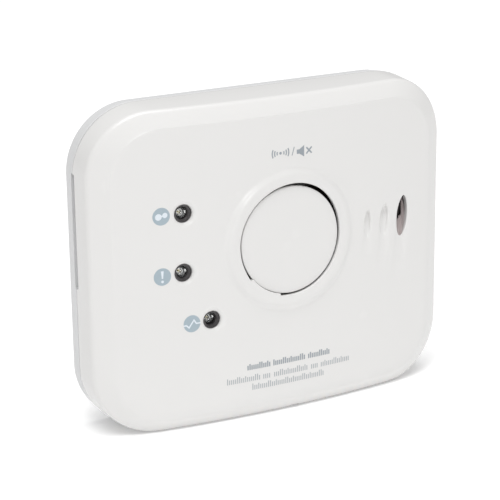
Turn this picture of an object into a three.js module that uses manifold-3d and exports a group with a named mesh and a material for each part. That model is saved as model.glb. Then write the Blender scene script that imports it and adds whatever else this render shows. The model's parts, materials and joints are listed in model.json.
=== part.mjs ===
// Carbon monoxide alarm for a wall or a shelf, in millimetres, +Z up, the front facing -Y.
// Inside the alarm group, x runs to the right, z is measured from the middle of the front, and
// "depth" is the distance from the wall plane towards the front, so y = -depth.
import * as THREE from "three";
import { mergeVertices } from "three/addons/utils/BufferGeometryUtils.js";
import Module from "manifold-3d";

const wasm = await Module();
wasm.setup();

// ---- Case outline ----
const WIDTH = 120;
const HEIGHT = 97.9;
const CORNER_RADIUS = 20.3;
const CORNER_STEPS = 6;
const STRAIGHT_STEPS = 8;
const COVER_WALL = 2;
const HOUSING_WALL = 2.4;
const HOUSING_FLOOR = 2;
const SEAT_GAP = 0.05; // between pieces that rest on each other
const PARTING_GAP = 0.3; // between the housing's rim and the cover's rim
const MOVING_GAP = 0.45; // around pieces that move

// ---- Depths, from the wall plane ----
const PARTING_DEPTH = 6.6;
const BEVEL_DROP = 2.8; // from the front face back to where the side wall ends
const BEVEL_RISE = 5.83; // how much deeper that edge is at mid-width
const FACE_RISE = 5.55; // crown of the front face, a cylinder about a vertical axis
const BACK_EDGE_ROUND = 0.8;

// ---- Insets of the outline ----
const BACK_INSET = 0.72;
const BEVEL_INSET = 0.67;
const CREASE_LEFT = 6.57;
const CREASE_RIGHT = 6.47;
const CREASE_TOP = 5.6;
const CREASE_BOTTOM = 4;
const CREASE_RADIUS = 15.2;
const BEVEL_BULGE = 0.35;
const TONGUE_INSET = 1.25;
const TONGUE_HEIGHT = 1.7;
const LIP = 1; // what is left of the cover's wall beside the tongue
const INNER_BEVEL_DROP = 1.2; // from the bevel's edge back to the inside of the side wall

// ---- Test button ----
const BUTTON = { x: 2.28, z: 5.1 };
const BUTTON_RADIUS = 16.4;
const BUTTON_THICK = 2;
const SKIRT_THICK = 1.4;
const SKIRT_LENGTH = 2;
const BUTTON_CROWN = 0.2;
const HINGE_ANGLE = THREE.MathUtils.degToRad(-122.5); // direction of the hinge from the button's centre
const HINGE_HALF_ANGLE = THREE.MathUtils.degToRad(19.5);
const HINGE_TONGUE = 1.7; // how far the hinge tongue reaches past the button's rim
const HINGE_THICK = 0.9;
const HINGE_SINK = 0.3;
const BEAD_INNER = BUTTON_RADIUS + 0.2;
const BEAD_CREST = BUTTON_RADIUS + 2.8;
const BEAD_OUTER = BUTTON_RADIUS + 6.4;
const BEAD_HEIGHT = 0.8;

// ---- Indicator lights ----
const LIGHTS = [
  { name: "alarm", x: -31.85, z: 17.65, colour: 0xd9cfcf },
  { name: "fault", x: -32.15, z: -0.1, colour: 0xd9d4c4 },
  { name: "power", x: -23.6, z: -15.75, colour: 0xcdd6cd },
];
const LIGHT_HOLE_RADIUS = 2.7;
const LIGHT_FLARE = 0.9; // how much wider the hole is at the front
const LIGHT_FLARE_DROP = 0.5;
const LED_RADIUS = 1.5;
const LED_FLANGE_RADIUS = 1.8;
const LED_FLANGE = 1;
const LED_LENGTH = 5.3;
const HOLDER_WALL = 0.45;
const HOLDER_SINK = 1.3; // the holder's rim below the front face

// ---- Sound slots ----
const SLOTS = [
  { x: 30.05, bottom: 0.75, top: 9.8, width: 2.3, open: false },
  { x: 36.4, bottom: -0.2, top: 10.65, width: 3, open: false },
  { x: 43.3, bottom: -0.55, top: 12.2, width: 3.9, open: true },
];
const BLIND_SLOT_DEPTH = 0.8;

// ---- Side vent and tool notch ----
const VENT = { bottom: -4.25, top: 30.15, back: 5.6, front: 8, hole: 17.7 };
const VENT_DEPTH = 1.2;
const VENT_HOLE_RADIUS = 0.8;
const NOTCH = { left: 3.3, width: 2.6, height: 0.8, depth: 19.2 };

// ---- Wall plate and its pocket ----
const PLATE_WIDTH = 64;
const PLATE_THICK = 2;
const PLATE_CORNER = 4;
const PLATE_TRAVEL = 8;
const POCKET_TOP_MARGIN = 13.75; // from the pocket to the top of the case
const POCKET_CELL_GAP = 6.45; // from the cell up to the pocket
const POCKET_DEPTH = 2.3;
const POCKET_FLOOR = 1.8;
const POCKET_GAP = 0.3;
const HOOK_X = 24;
const HOOK_SPACING = 25;
const HOOK_NECK = 3;
const HOOK_HEAD = 7;
const HOOK_TALL = 2.4;
const HOOK_HEAD_THICK = 1.4;
const HOOK_GAP = 0.3;
const WALL_SLOT_RADIUS = 2.1;
const WALL_SLOT_LENGTH = 10;
const WALL_SLOT_X = 17;
const THUMB = { radius: 8, sink: 4 }; // a round notch in the plate's lower edge

// ---- Circuit board ----
const BOARD_BACK = 12.4;
const BOARD_THICK = 1.6;
const BOARD_HALF_WIDTH = 54;
const BOARD_CELL_GAP = 1.85;
const BOARD_TOP_MARGIN = 17.95;
const BOARD_CORNER = 4;
const BOARD_SCREW_X = { upperLeft: -24, upperRight: 20, lower: -6 };
const BOARD_SCREW_INSET = { upper: 4.5, lower: 6 };
const BOARD_POST_RADIUS = 3;
const BOARD_SCREW = { shank: 1.1, head: 2.5, headThick: 1.6, length: 5 };

// ---- Case screws ----
const CASE_SCREW_INSET = 11.4; // from the outline to the screw, both ways
const CASE_BOSS_RADIUS = 4.2;
const COVER_BOSS_RADIUS = 3.3;
const COVER_BOSS_BACK = 8.1;
const CASE_SCREW = { shank: 1.3, head: 2.8, headThick: 1.8, length: 9.5 };
const SCREW_HEAD_DEPTH = 2.6;
const SCREW_CLEARANCE = 0.35;

// ---- Cell ----
const CELL_RADIUS = 7.25;
const CELL_LENGTH = 50.5;
const CELL_X = -6;
const CELL_FLOOR_GAP = 2.2; // between the cell and the housing's bottom wall
const CELL_BACK_GAP = 1.75; // between the cell and the housing's floor
const CELL_FRONT_GAP = 0.78; // between the cell's ends and the inside of the front
const TERMINAL_RADIUS = 2.7;
const TERMINAL_HEIGHT = 1;
const CRADLE_THICK = 2;
const CRADLE_SPREAD = 16;
const CRADLE_TOP = 8.6;
const TAB_THICK = 0.3;
const TAB_WIDTH = 3;

// ---- Gas sensor ----
const SENSOR = { x: -45, z: 13 };
const SENSOR_RADIUS = 8.5;
const SENSOR_BODY = 7;
const SENSOR_CAP = 2.2;
const SENSOR_CAP_LIP = 0.4;
const SENSOR_GASKET = 0.6;
const SENSOR_PORT_RADIUS = 1.2;

// ---- Sounder ----
const SOUNDER_RADIUS = 15.6;
const SOUNDER_SIDE_GAP = 8.4; // from the sounder to the case's outline
const SOUNDER_Z = 1;
const SOUNDER_WALL = 1.4;
const SOUNDER_BACK = 9;
const SOUNDER_FACE_GAP = 0.63; // between the sounder and the inside of the front
const SOUNDER_LEDGE_SINK = 2.4; // from the sounder's front back to the disc's ledge
const LEDGE_WIDTH = 1.6;
const DISC_THICK = 0.3;
const CERAMIC_RADIUS = 9.5;
const CERAMIC_THICK = 0.25;
const SOUND_PORT_RADIUS = 5;
const SOUND_CAP_THICK = 1.1;
const COLLAR_WALL = 1.2;
const COLLAR_BACK = 14.5;
const CONTACT_SPREAD = 6;
const CONTACT_WIDTH = 2.4;

// ---- Switches ----
const TACT_SIZE = 6.2;
const TACT_HEIGHT = 3.5;
const TACT_BORE_DEPTH = 2.7;
const PLUNGER_RADIUS = 1.75;
const PLUNGER_GAP = 0.2;
const PLUNGER_PROUD = 1.5;
const PLUNGER_SUNK = 1.8;
const POST_RADIUS = 2.2;
const POST_GAP = 0.1;
const SLIDE_POCKET_GAP = 0.9; // from the slider's flange to the pocket's wall
const SLIDE_RISE = 2.6; // above the circuit board's lower edge
const SLIDE_TRAVEL = 4;
const SLIDE_BODY = { width: 8.6, height: 4, thick: 3.5 };
const SLIDE_NUB = { width: 5, height: 4 };
const SLIDE_FLANGE_THICK = 1;
const SLIDE_FLANGE_REACH = 1; // past the slot, all round and at both ends of the travel

// ---- Rear label ----
const LABEL = { x: 0, z: -31, width: 42, height: 13, thick: 0.2, sink: 0.3 };

// ---- Facets ----
const FINE = 48;
const ROUND = 32;
const MEDIUM = 24;
const COARSE = 14;

const FINISH = {
  white: { color: 0xe9eaeb, roughness: 0.42, metalness: 0 },
  grey: { color: 0xc9cccf, roughness: 0.5, metalness: 0 },
  black: { color: 0x1d1e20, roughness: 0.6, metalness: 0 },
  board: { color: 0x1f5b3a, roughness: 0.5, metalness: 0 },
  steel: { color: 0xb9bcc0, roughness: 0.3, metalness: 1 },
  brass: { color: 0xc8a655, roughness: 0.3, metalness: 1 },
  ceramic: { color: 0xd9d6cc, roughness: 0.6, metalness: 0 },
  sleeve: { color: 0x2f6fae, roughness: 0.4, metalness: 0 },
  rubber: { color: 0x2a2a2c, roughness: 0.9, metalness: 0 },
  paper: { color: 0xe4e4e2, roughness: 0.7, metalness: 0 },
  copper: { color: 0xb26a3c, roughness: 0.4, metalness: 1 },
};

// ---- Solids ----

// A closed geometry as a solid that booleans can use.
function solid(geometry) {
  const bare = geometry.index ? geometry.toNonIndexed() : geometry.clone();
  bare.deleteAttribute("normal");
  bare.deleteAttribute("uv");
  const merged = mergeVertices(bare, 1e-4);
  const faces = [];
  for (let i = 0; i < merged.index.count; i += 3) {
    const [a, b, c] = [0, 1, 2].map((k) => merged.index.getX(i + k));
    if (a !== b && b !== c && c !== a) faces.push([a, b, c]);
  }
  const build = (list) =>
    new wasm.Manifold(
      new wasm.Mesh({
        numProp: 3,
        vertProperties: new Float32Array(merged.attributes.position.array),
        triVerts: new Uint32Array(list.flat()),
      }),
    );
  const made = build(faces);
  return made.volume() < 0 ? build(faces.map(([a, b, c]) => [a, c, b])) : made;
}

// A named mesh from a solid.
function piece(name, body, finish, colour) {
  const made = body.getMesh();
  const geometry = new THREE.BufferGeometry();
  geometry.setAttribute("position", new THREE.BufferAttribute(new Float32Array(made.vertProperties), 3));
  geometry.setIndex(new THREE.BufferAttribute(new Uint32Array(made.triVerts), 1));
  geometry.computeVertexNormals();
  const material = new THREE.MeshStandardMaterial(FINISH[finish]);
  if (colour) material.color.set(colour);
  const mesh = new THREE.Mesh(geometry, material);
  mesh.name = name;
  return mesh;
}

const join = (...bodies) => bodies.reduce((a, b) => a.add(b));
const cut = (body, ...tools) => tools.reduce((a, b) => a.subtract(b), body);

// A block between two x, two depths and two z.
function block(x0, x1, d0, d1, z0, z1) {
  const box = new THREE.BoxGeometry(x1 - x0, d1 - d0, z1 - z0);
  return solid(box.translate((x0 + x1) / 2, -(d0 + d1) / 2, (z0 + z1) / 2));
}

// A rod along the depth.
function rod(radius, d0, d1, x, z, steps = MEDIUM) {
  const cylinder = new THREE.CylinderGeometry(radius, radius, d1 - d0, steps);
  return solid(cylinder.translate(x, -(d0 + d1) / 2, z));
}

// A rod along x.
function crossRod(radius, x0, x1, depth, z, steps = MEDIUM) {
  const cylinder = new THREE.CylinderGeometry(radius, radius, x1 - x0, steps);
  return solid(cylinder.rotateZ(Math.PI / 2).translate((x0 + x1) / 2, -depth, z));
}

// A turned piece about the depth axis: the profile is a list of [radius, depth].
function turned(profile, x, z, steps = MEDIUM) {
  const points = profile.map(([radius, depth]) => new THREE.Vector2(radius, -depth));
  return solid(new THREE.LatheGeometry(points, steps).translate(x, 0, z));
}

// A flat outline in x and z, from one depth to another.
function slab(shape, d0, d1, curveSegments = 4) {
  const settings = { depth: d1 - d0, bevelEnabled: false, curveSegments };
  const geometry = new THREE.ExtrudeGeometry(shape, settings);
  return solid(geometry.translate(0, 0, d0).rotateX(Math.PI / 2));
}

// An outline in x and depth, from one z to another.
function strip(points, z0, z1) {
  const shape = new THREE.Shape(points.map(([x, depth]) => new THREE.Vector2(x, -depth)));
  const settings = { depth: z1 - z0, bevelEnabled: false };
  return solid(new THREE.ExtrudeGeometry(shape, settings).translate(0, 0, z0));
}

function roundedRectangle(x, z, width, height, radius) {
  const shape = new THREE.Shape();
  const left = x - width / 2;
  const bottom = z - height / 2;
  shape.moveTo(left + radius, bottom);
  shape.lineTo(left + width - radius, bottom);
  shape.absarc(left + width - radius, bottom + radius, radius, -Math.PI / 2, 0);
  shape.lineTo(left + width, bottom + height - radius);
  shape.absarc(left + width - radius, bottom + height - radius, radius, 0, Math.PI / 2);
  shape.lineTo(left + radius, bottom + height);
  shape.absarc(left + radius, bottom + height - radius, radius, Math.PI / 2, Math.PI);
  shape.lineTo(left, bottom + radius);
  shape.absarc(left + radius, bottom + radius, radius, Math.PI, 1.5 * Math.PI);
  return shape;
}

// ---- The crowned case ----

// The front is just deep enough for the cell behind its crowned face.
const crown = (x) => 1 - ((2 * x) / WIDTH) ** 2;
const CELL_DEPTH = HOUSING_FLOOR + CELL_BACK_GAP + CELL_RADIUS;
const CELL_END = Math.abs(CELL_X) + CELL_LENGTH / 2;
const CELL_FRONT = CELL_DEPTH + CELL_RADIUS + CELL_FRONT_GAP;
const FACE_DEPTH = CELL_FRONT + COVER_WALL - FACE_RISE * crown(CELL_END);
const BEVEL_DEPTH = FACE_DEPTH - BEVEL_DROP;
const faceDepth = (x) => FACE_DEPTH + FACE_RISE * crown(x);

// One level of the case: a rounded rectangle, inset from the outline, at a depth that may be crowned.
// Its upper and lower halves share their x values, so a flat strip can span them.
function level(inset, radius, depth, rise = 0) {
  const left = -WIDTH / 2 + inset.left;
  const right = WIDTH / 2 - inset.right;
  const top = HEIGHT / 2 - inset.top;
  const bottom = -HEIGHT / 2 + inset.bottom;
  const half = [];
  for (let i = 0; i <= CORNER_STEPS; i++) {
    const turn = ((Math.PI / 2) * i) / CORNER_STEPS;
    half.push([left + radius * (1 - Math.cos(turn)), radius * (1 - Math.sin(turn))]);
  }
  for (let i = 1; i < STRAIGHT_STEPS; i++) {
    const x = THREE.MathUtils.lerp(left + radius, right - radius, i / STRAIGHT_STEPS);
    half.push([x, 0]);
  }
  for (let i = CORNER_STEPS; i >= 0; i--) {
    const turn = ((Math.PI / 2) * i) / CORNER_STEPS;
    half.push([right - radius * (1 - Math.cos(turn)), radius * (1 - Math.sin(turn))]);
  }
  const point = (x, z) => new THREE.Vector3(x, -(depth + rise * crown(x)), z);
  const upper = half.map(([x, drop]) => point(x, top - drop));
  const lower = half.map(([x, drop]) => point(x, bottom + drop));
  return [...upper, ...lower.reverse()];
}

const evenInset = (inset, bottom = inset) => ({ left: inset, right: inset, top: inset, bottom });
const creaseInset = (extra) => ({
  left: CREASE_LEFT + extra,
  right: CREASE_RIGHT + extra,
  top: CREASE_TOP + extra,
  bottom: CREASE_BOTTOM + extra,
});

// A closed skin over a list of levels, with a capped first and last level.
function loft(levels) {
  const count = levels[0].length;
  const points = levels.flat();
  const faces = [];
  for (let k = 0; k + 1 < levels.length; k++) {
    for (let i = 0; i < count; i++) {
      const next = (i + 1) % count;
      const [a, b] = [k * count + i, k * count + next];
      const [c, d] = [a + count, b + count];
      faces.push(a, b, d, a, d, c);
    }
  }
  const cap = (start, flip) => {
    for (let i = 0; i + 1 < count / 2; i++) {
      const [a, b] = [start + i, start + i + 1];
      const [c, d] = [start + count - 2 - i, start + count - 1 - i];
      faces.push(...(flip ? [a, b, c, a, c, d] : [a, c, b, a, d, c]));
    }
  };
  cap(0, false);
  cap((levels.length - 1) * count, true);
  const geometry = new THREE.BufferGeometry().setFromPoints(points);
  geometry.setIndex(faces);
  return solid(geometry);
}

// A turned piece whose depths are counted from the crowned front face.
function turnedOnFace(profile, x, z, steps = FINE) {
  const points = profile.map(([radius, rise]) => new THREE.Vector2(radius, -rise));
  const geometry = new THREE.LatheGeometry(points, steps).translate(x, 0, z);
  const places = geometry.attributes.position;
  for (let i = 0; i < places.count; i++) {
    places.setY(i, places.getY(i) - faceDepth(places.getX(i)));
  }
  return solid(geometry);
}

function bevelMiddle() {
  const share = (a, b) => (a + b) / 2 - BEVEL_BULGE;
  const inset = {
    left: share(BEVEL_INSET, CREASE_LEFT),
    right: share(BEVEL_INSET, CREASE_RIGHT),
    top: share(BEVEL_INSET, CREASE_TOP),
    bottom: share(0, CREASE_BOTTOM),
  };
  const depth = (BEVEL_DEPTH + FACE_DEPTH) / 2 + BEVEL_BULGE;
  return level(inset, (CORNER_RADIUS + CREASE_RADIUS) / 2, depth, (BEVEL_RISE + FACE_RISE) / 2);
}

// ---- Shared places ----
const CASE_SCREWS = [
  [-1, -1],
  [1, -1],
  [-1, 1],
  [1, 1],
].map(([sx, sz]) => ({
  x: sx * (WIDTH / 2 - CASE_SCREW_INSET),
  z: sz * (HEIGHT / 2 - CASE_SCREW_INSET),
}));
const CELL_Z = -HEIGHT / 2 + HOUSING_WALL + CELL_FLOOR_GAP + CELL_RADIUS;
const CELL_TOP = CELL_Z + CELL_RADIUS;
const BOARD_FRONT = BOARD_BACK + BOARD_THICK;
const BOARD_BOTTOM = CELL_TOP + BOARD_CELL_GAP;
const BOARD_TOP = HEIGHT / 2 - BOARD_TOP_MARGIN;
const BOARD_SCREWS = [
  { x: BOARD_SCREW_X.upperLeft, z: BOARD_TOP - BOARD_SCREW_INSET.upper },
  { x: BOARD_SCREW_X.upperRight, z: BOARD_TOP - BOARD_SCREW_INSET.upper },
  { x: BOARD_SCREW_X.lower, z: BOARD_BOTTOM + BOARD_SCREW_INSET.lower },
];
const SOUNDER = { x: WIDTH / 2 - SOUNDER_SIDE_GAP - SOUNDER_RADIUS, z: SOUNDER_Z };
const SOUNDER_FRONT = faceDepth(SOUNDER.x + SOUNDER_RADIUS) - COVER_WALL - SOUNDER_FACE_GAP;
const SOUNDER_LEDGE = SOUNDER_FRONT - SOUNDER_LEDGE_SINK;
const POCKET = {
  left: -PLATE_WIDTH / 2 - POCKET_GAP,
  right: PLATE_WIDTH / 2 + POCKET_GAP,
  bottom: CELL_TOP + POCKET_CELL_GAP,
  top: HEIGHT / 2 - POCKET_TOP_MARGIN,
};
// The plate fills the pocket but for its travel, and sits at the top when the alarm is on its hooks.
const PLATE_HEIGHT = POCKET.top - POCKET.bottom - PLATE_TRAVEL - 2 * POCKET_GAP;
const PLATE_Z = POCKET.top - POCKET_GAP - PLATE_HEIGHT / 2;
const HOOKS = [-1, 1].flatMap((sx) =>
  [-1, 1].map((sz) => ({ x: sx * HOOK_X, z: PLATE_Z + (sz * HOOK_SPACING) / 2 })),
);
const POCKET_INNER = POCKET_DEPTH + POCKET_FLOOR;
const SLOT_HALF = (SLIDE_NUB.width + SLIDE_TRAVEL) / 2 + POCKET_GAP;
const FLANGE_HALF = SLOT_HALF + SLIDE_TRAVEL / 2 + SLIDE_FLANGE_REACH;
const SLIDE = {
  x: POCKET.right + POCKET_FLOOR + SLIDE_POCKET_GAP + SLIDE_TRAVEL / 2 + FLANGE_HALF,
  z: BOARD_BOTTOM + SLIDE_RISE,
};

// ---- Front cover ----

function coverShell() {
  const inner = COVER_WALL + BEVEL_INSET;
  return loft([
    level(creaseInset(0), CREASE_RADIUS, FACE_DEPTH, FACE_RISE),
    bevelMiddle(),
    level(evenInset(BEVEL_INSET, 0), CORNER_RADIUS - BEVEL_INSET, BEVEL_DEPTH, BEVEL_RISE),
    level(evenInset(0), CORNER_RADIUS, PARTING_DEPTH),
    level(evenInset(LIP), CORNER_RADIUS - LIP, PARTING_DEPTH),
    level(evenInset(LIP), CORNER_RADIUS - LIP, PARTING_DEPTH + COVER_WALL),
    level(evenInset(COVER_WALL), CORNER_RADIUS - COVER_WALL, PARTING_DEPTH + COVER_WALL),
    level(evenInset(inner, COVER_WALL), CORNER_RADIUS - inner, BEVEL_DEPTH - INNER_BEVEL_DROP, BEVEL_RISE),
    level(creaseInset(0.3), CREASE_RADIUS, FACE_DEPTH - COVER_WALL, FACE_RISE),
  ]);
}

function buttonBead() {
  const root = -COVER_WALL / 2;
  const slope = BEAD_OUTER - BEAD_CREST;
  return turnedOnFace(
    [
      [BEAD_INNER, root],
      [BEAD_INNER, BEAD_HEIGHT * 0.72],
      [(BEAD_INNER + BEAD_CREST) / 2, BEAD_HEIGHT * 0.92],
      [BEAD_CREST, BEAD_HEIGHT],
      [BEAD_CREST + slope * 0.35, BEAD_HEIGHT * 0.75],
      [BEAD_CREST + slope * 0.65, BEAD_HEIGHT * 0.28],
      [BEAD_OUTER, 0],
      [BEAD_OUTER, root],
      [BEAD_INNER, root],
    ],
    BUTTON.x,
    BUTTON.z,
  );
}

// A sector about the button's centre, on the hinge side.
function hingeSector(inner, outer, widen) {
  const shape = new THREE.Shape();
  const half = HINGE_HALF_ANGLE + widen / BUTTON_RADIUS;
  shape.absarc(BUTTON.x, BUTTON.z, outer, HINGE_ANGLE - half, HINGE_ANGLE + half, false);
  shape.absarc(BUTTON.x, BUTTON.z, inner, HINGE_ANGLE + half, HINGE_ANGLE - half, true);
  return shape;
}

function buttonOpening() {
  const front = faceDepth(0) + BEAD_HEIGHT + 1;
  const back = COLLAR_BACK;
  const outer = BUTTON_RADIUS + HINGE_TONGUE + MOVING_GAP;
  return join(
    rod(BUTTON_RADIUS + MOVING_GAP, back, front, BUTTON.x, BUTTON.z, FINE),
    slab(hingeSector(BUTTON_RADIUS - 2, outer, MOVING_GAP), back, front, 8),
  );
}

function lightHole(light) {
  const deep = -2 * COVER_WALL;
  const mouth = LIGHT_HOLE_RADIUS + LIGHT_FLARE;
  return turnedOnFace(
    [
      [0, deep],
      [LIGHT_HOLE_RADIUS, deep],
      [LIGHT_HOLE_RADIUS, -LIGHT_FLARE_DROP],
      [mouth, 0],
      [mouth + 0.5, 0.5],
      [0, 0.5],
    ],
    light.x,
    light.z,
    MEDIUM,
  );
}

function soundSlot({ x, bottom, top, width, open }) {
  const shape = new THREE.Shape();
  const middle = (bottom + top) / 2;
  const side = width / 2;
  shape.moveTo(x + side * 0.4, top);
  shape.quadraticCurveTo(x - side, top - width, x - side, middle);
  shape.quadraticCurveTo(x - side, bottom + side, x - side * 0.4, bottom);
  shape.quadraticCurveTo(x + side, bottom, x + side, middle);
  shape.quadraticCurveTo(x + side, top - side, x + side * 0.4, top);
  const back = open ? COLLAR_BACK + 1 : faceDepth(x) - BLIND_SLOT_DEPTH;
  return slab(shape, back, faceDepth(0) + 1, 3);
}

function ventCut(fromDepth, toDepth) {
  const left = -WIDTH / 2;
  return block(left - 1, left + VENT_DEPTH, fromDepth, toDepth, VENT.bottom, VENT.top);
}

function coverPosts() {
  const bosses = CASE_SCREWS.map(({ x, z }) =>
    rod(COVER_BOSS_RADIUS, COVER_BOSS_BACK, faceDepth(x) - COVER_WALL + 0.5, x, z),
  );
  const posts = BOARD_SCREWS.map(({ x, z }) =>
    rod(BOARD_POST_RADIUS, BOARD_FRONT + SEAT_GAP, faceDepth(x) - COVER_WALL + 0.8, x, z, COARSE),
  );
  return join(...bosses, ...posts);
}

function coverBores() {
  const caseBores = CASE_SCREWS.map(({ x, z }) => {
    const end = SCREW_HEAD_DEPTH + CASE_SCREW.headThick + CASE_SCREW.length + 1;
    return rod(CASE_SCREW.shank + SEAT_GAP, COVER_BOSS_BACK - 1, end, x, z, COARSE);
  });
  const boardBores = BOARD_SCREWS.map(({ x, z }) => {
    const end = BOARD_BACK + BOARD_SCREW.length + 0.4;
    return rod(BOARD_SCREW.shank + SEAT_GAP, BOARD_FRONT - 1, end, x, z, COARSE);
  });
  return join(...caseBores, ...boardBores);
}

// The ring that holds the sounder, trimmed to the cover's curved inside.
function sounderCollar() {
  const inner = SOUNDER_RADIUS + POCKET_GAP;
  const outer = inner + COLLAR_WALL;
  const top = -COVER_WALL + 0.3;
  const bottom = COLLAR_BACK - faceDepth(SOUNDER.x);
  const profile = [
    [inner, bottom],
    [outer, bottom],
    [outer, top],
    [inner, top],
    [inner, bottom],
  ];
  return turnedOnFace(profile, SOUNDER.x, SOUNDER.z);
}

function frontCover() {
  const notch = block(
    NOTCH.left,
    NOTCH.left + NOTCH.width,
    NOTCH.depth,
    faceDepth(0) + 1,
    -HEIGHT / 2 - 1,
    -HEIGHT / 2 + NOTCH.height,
  );
  const body = cut(
    join(coverShell(), buttonBead(), sounderCollar(), coverPosts()),
    buttonOpening(),
    coverBores(),
    notch,
    ventCut(PARTING_DEPTH - 1, VENT.front),
    ...LIGHTS.map(lightHole),
    ...SLOTS.map(soundSlot),
  );
  return piece("front_cover", body, "white");
}

// ---- Test button ----

const POST_TIP = BOARD_FRONT + SEAT_GAP + TACT_HEIGHT + PLUNGER_PROUD + POST_GAP;

function testButton() {
  const edge = BUTTON_RADIUS;
  const cap = turnedOnFace(
    [
      [0, BUTTON_CROWN],
      [edge * 0.55, BUTTON_CROWN * 0.8],
      [edge - 0.5, 0],
      [edge, -0.5],
      [edge, -BUTTON_THICK - SKIRT_LENGTH],
      [edge - SKIRT_THICK, -BUTTON_THICK - SKIRT_LENGTH],
      [edge - SKIRT_THICK, -BUTTON_THICK],
      [0, -BUTTON_THICK],
    ],
    BUTTON.x,
    BUTTON.z,
  );
  const hingeFront = faceDepth(BUTTON.x + BUTTON_RADIUS * Math.cos(HINGE_ANGLE)) - HINGE_SINK;
  const tongue = slab(
    hingeSector(edge - 1, edge + HINGE_TONGUE, 0),
    hingeFront - HINGE_THICK,
    hingeFront,
    8,
  );
  const post = rod(POST_RADIUS, POST_TIP, faceDepth(BUTTON.x) - 1, BUTTON.x, BUTTON.z);
  return piece("test_button", join(cap, tongue, post), "white");
}

// ---- Rear housing ----

function housingShell() {
  const rim = PARTING_DEPTH - PARTING_GAP;
  const tongueTop = PARTING_DEPTH + TONGUE_HEIGHT;
  const back = BACK_INSET + BACK_EDGE_ROUND;
  return loft([
    level(evenInset(back, BACK_EDGE_ROUND), CORNER_RADIUS - back, 0),
    level(evenInset(BACK_INSET, 0), CORNER_RADIUS - BACK_INSET, BACK_EDGE_ROUND),
    level(evenInset(0), CORNER_RADIUS, rim),
    level(evenInset(TONGUE_INSET), CORNER_RADIUS - TONGUE_INSET, rim),
    level(evenInset(TONGUE_INSET), CORNER_RADIUS - TONGUE_INSET, tongueTop),
    level(evenInset(HOUSING_WALL), CORNER_RADIUS - HOUSING_WALL, tongueTop),
    level(evenInset(HOUSING_WALL + BACK_INSET, HOUSING_WALL), CORNER_RADIUS - HOUSING_WALL, HOUSING_FLOOR),
  ]);
}

// The slot in the pocket's floor that a hook slides along, wide at the end where it comes out.
function hookSlot({ x, z }) {
  const neck = HOOK_NECK / 2 + HOOK_GAP;
  const head = HOOK_HEAD / 2 + HOOK_GAP;
  const half = HOOK_TALL / 2 + HOOK_GAP;
  const low = z - PLATE_TRAVEL;
  const [from, to] = [POCKET_DEPTH - 1, POCKET_INNER + 1];
  return join(
    block(x - neck, x + neck, from, to, low, z + half),
    block(x - head, x + head, from, to, low - half, low + half),
  );
}

function cellCradle() {
  const half = CRADLE_THICK / 2;
  const bottom = -HEIGHT / 2 + HOUSING_WALL - 1;
  const ribs = [-1, 1].map((side) => {
    const x = CELL_X + side * CRADLE_SPREAD;
    return block(x - half, x + half, HOUSING_FLOOR - 1, CRADLE_TOP, bottom, CELL_Z + CELL_RADIUS - 1);
  });
  return join(...ribs);
}

function rearHousing() {
  const bosses = CASE_SCREWS.map(({ x, z }) =>
    rod(CASE_BOSS_RADIUS, HOUSING_FLOOR - 1, COVER_BOSS_BACK - SEAT_GAP, x, z),
  );
  const headRoom = CASE_SCREW.head + SCREW_CLEARANCE;
  const shankRoom = CASE_SCREW.shank + SCREW_CLEARANCE;
  const headSeat = SCREW_HEAD_DEPTH + CASE_SCREW.headThick + SEAT_GAP;
  const bores = CASE_SCREWS.flatMap(({ x, z }) => [
    rod(headRoom, -1, headSeat, x, z),
    rod(shankRoom, headSeat - 1, COVER_BOSS_BACK + 1, x, z, COARSE),
  ]);
  const wall = POCKET_FLOOR;
  const { left, right, bottom, top } = POCKET;
  const raised = block(left - wall, right + wall, HOUSING_FLOOR - 1, POCKET_INNER, bottom - wall, top + wall);
  const pocket = block(left, right, -1, POCKET_DEPTH, bottom, top);
  const slot = SLIDE_NUB.height / 2 + POCKET_GAP;
  const slideSlot = block(SLIDE.x - SLOT_HALF, SLIDE.x + SLOT_HALF, -1, 3, SLIDE.z - slot, SLIDE.z + slot);
  const labelSeat = slab(
    roundedRectangle(LABEL.x, LABEL.z, LABEL.width + 1, LABEL.height + 1, 1.5),
    -1,
    LABEL.sink,
  );
  const cellRoom = CELL_LENGTH / 2 + 2;
  const body = cut(
    join(housingShell(), raised, cellCradle(), ...bosses),
    pocket,
    slideSlot,
    labelSeat,
    crossRod(CELL_RADIUS + SEAT_GAP, CELL_X - cellRoom, CELL_X + cellRoom, CELL_DEPTH, CELL_Z, ROUND),
    crossRod(VENT_HOLE_RADIUS, -WIDTH / 2 - 1, -WIDTH / 2 + 5, PARTING_DEPTH, VENT.hole, COARSE),
    ventCut(VENT.back, PARTING_DEPTH),
    ...HOOKS.map(hookSlot),
    ...bores,
  );
  return piece("rear_housing", body, "grey");
}

// ---- Wall plate ----

function wallSlot(x, z, width, height) {
  return slab(roundedRectangle(x, z, width, height, WALL_SLOT_RADIUS), -1, PLATE_THICK + 1);
}

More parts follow.
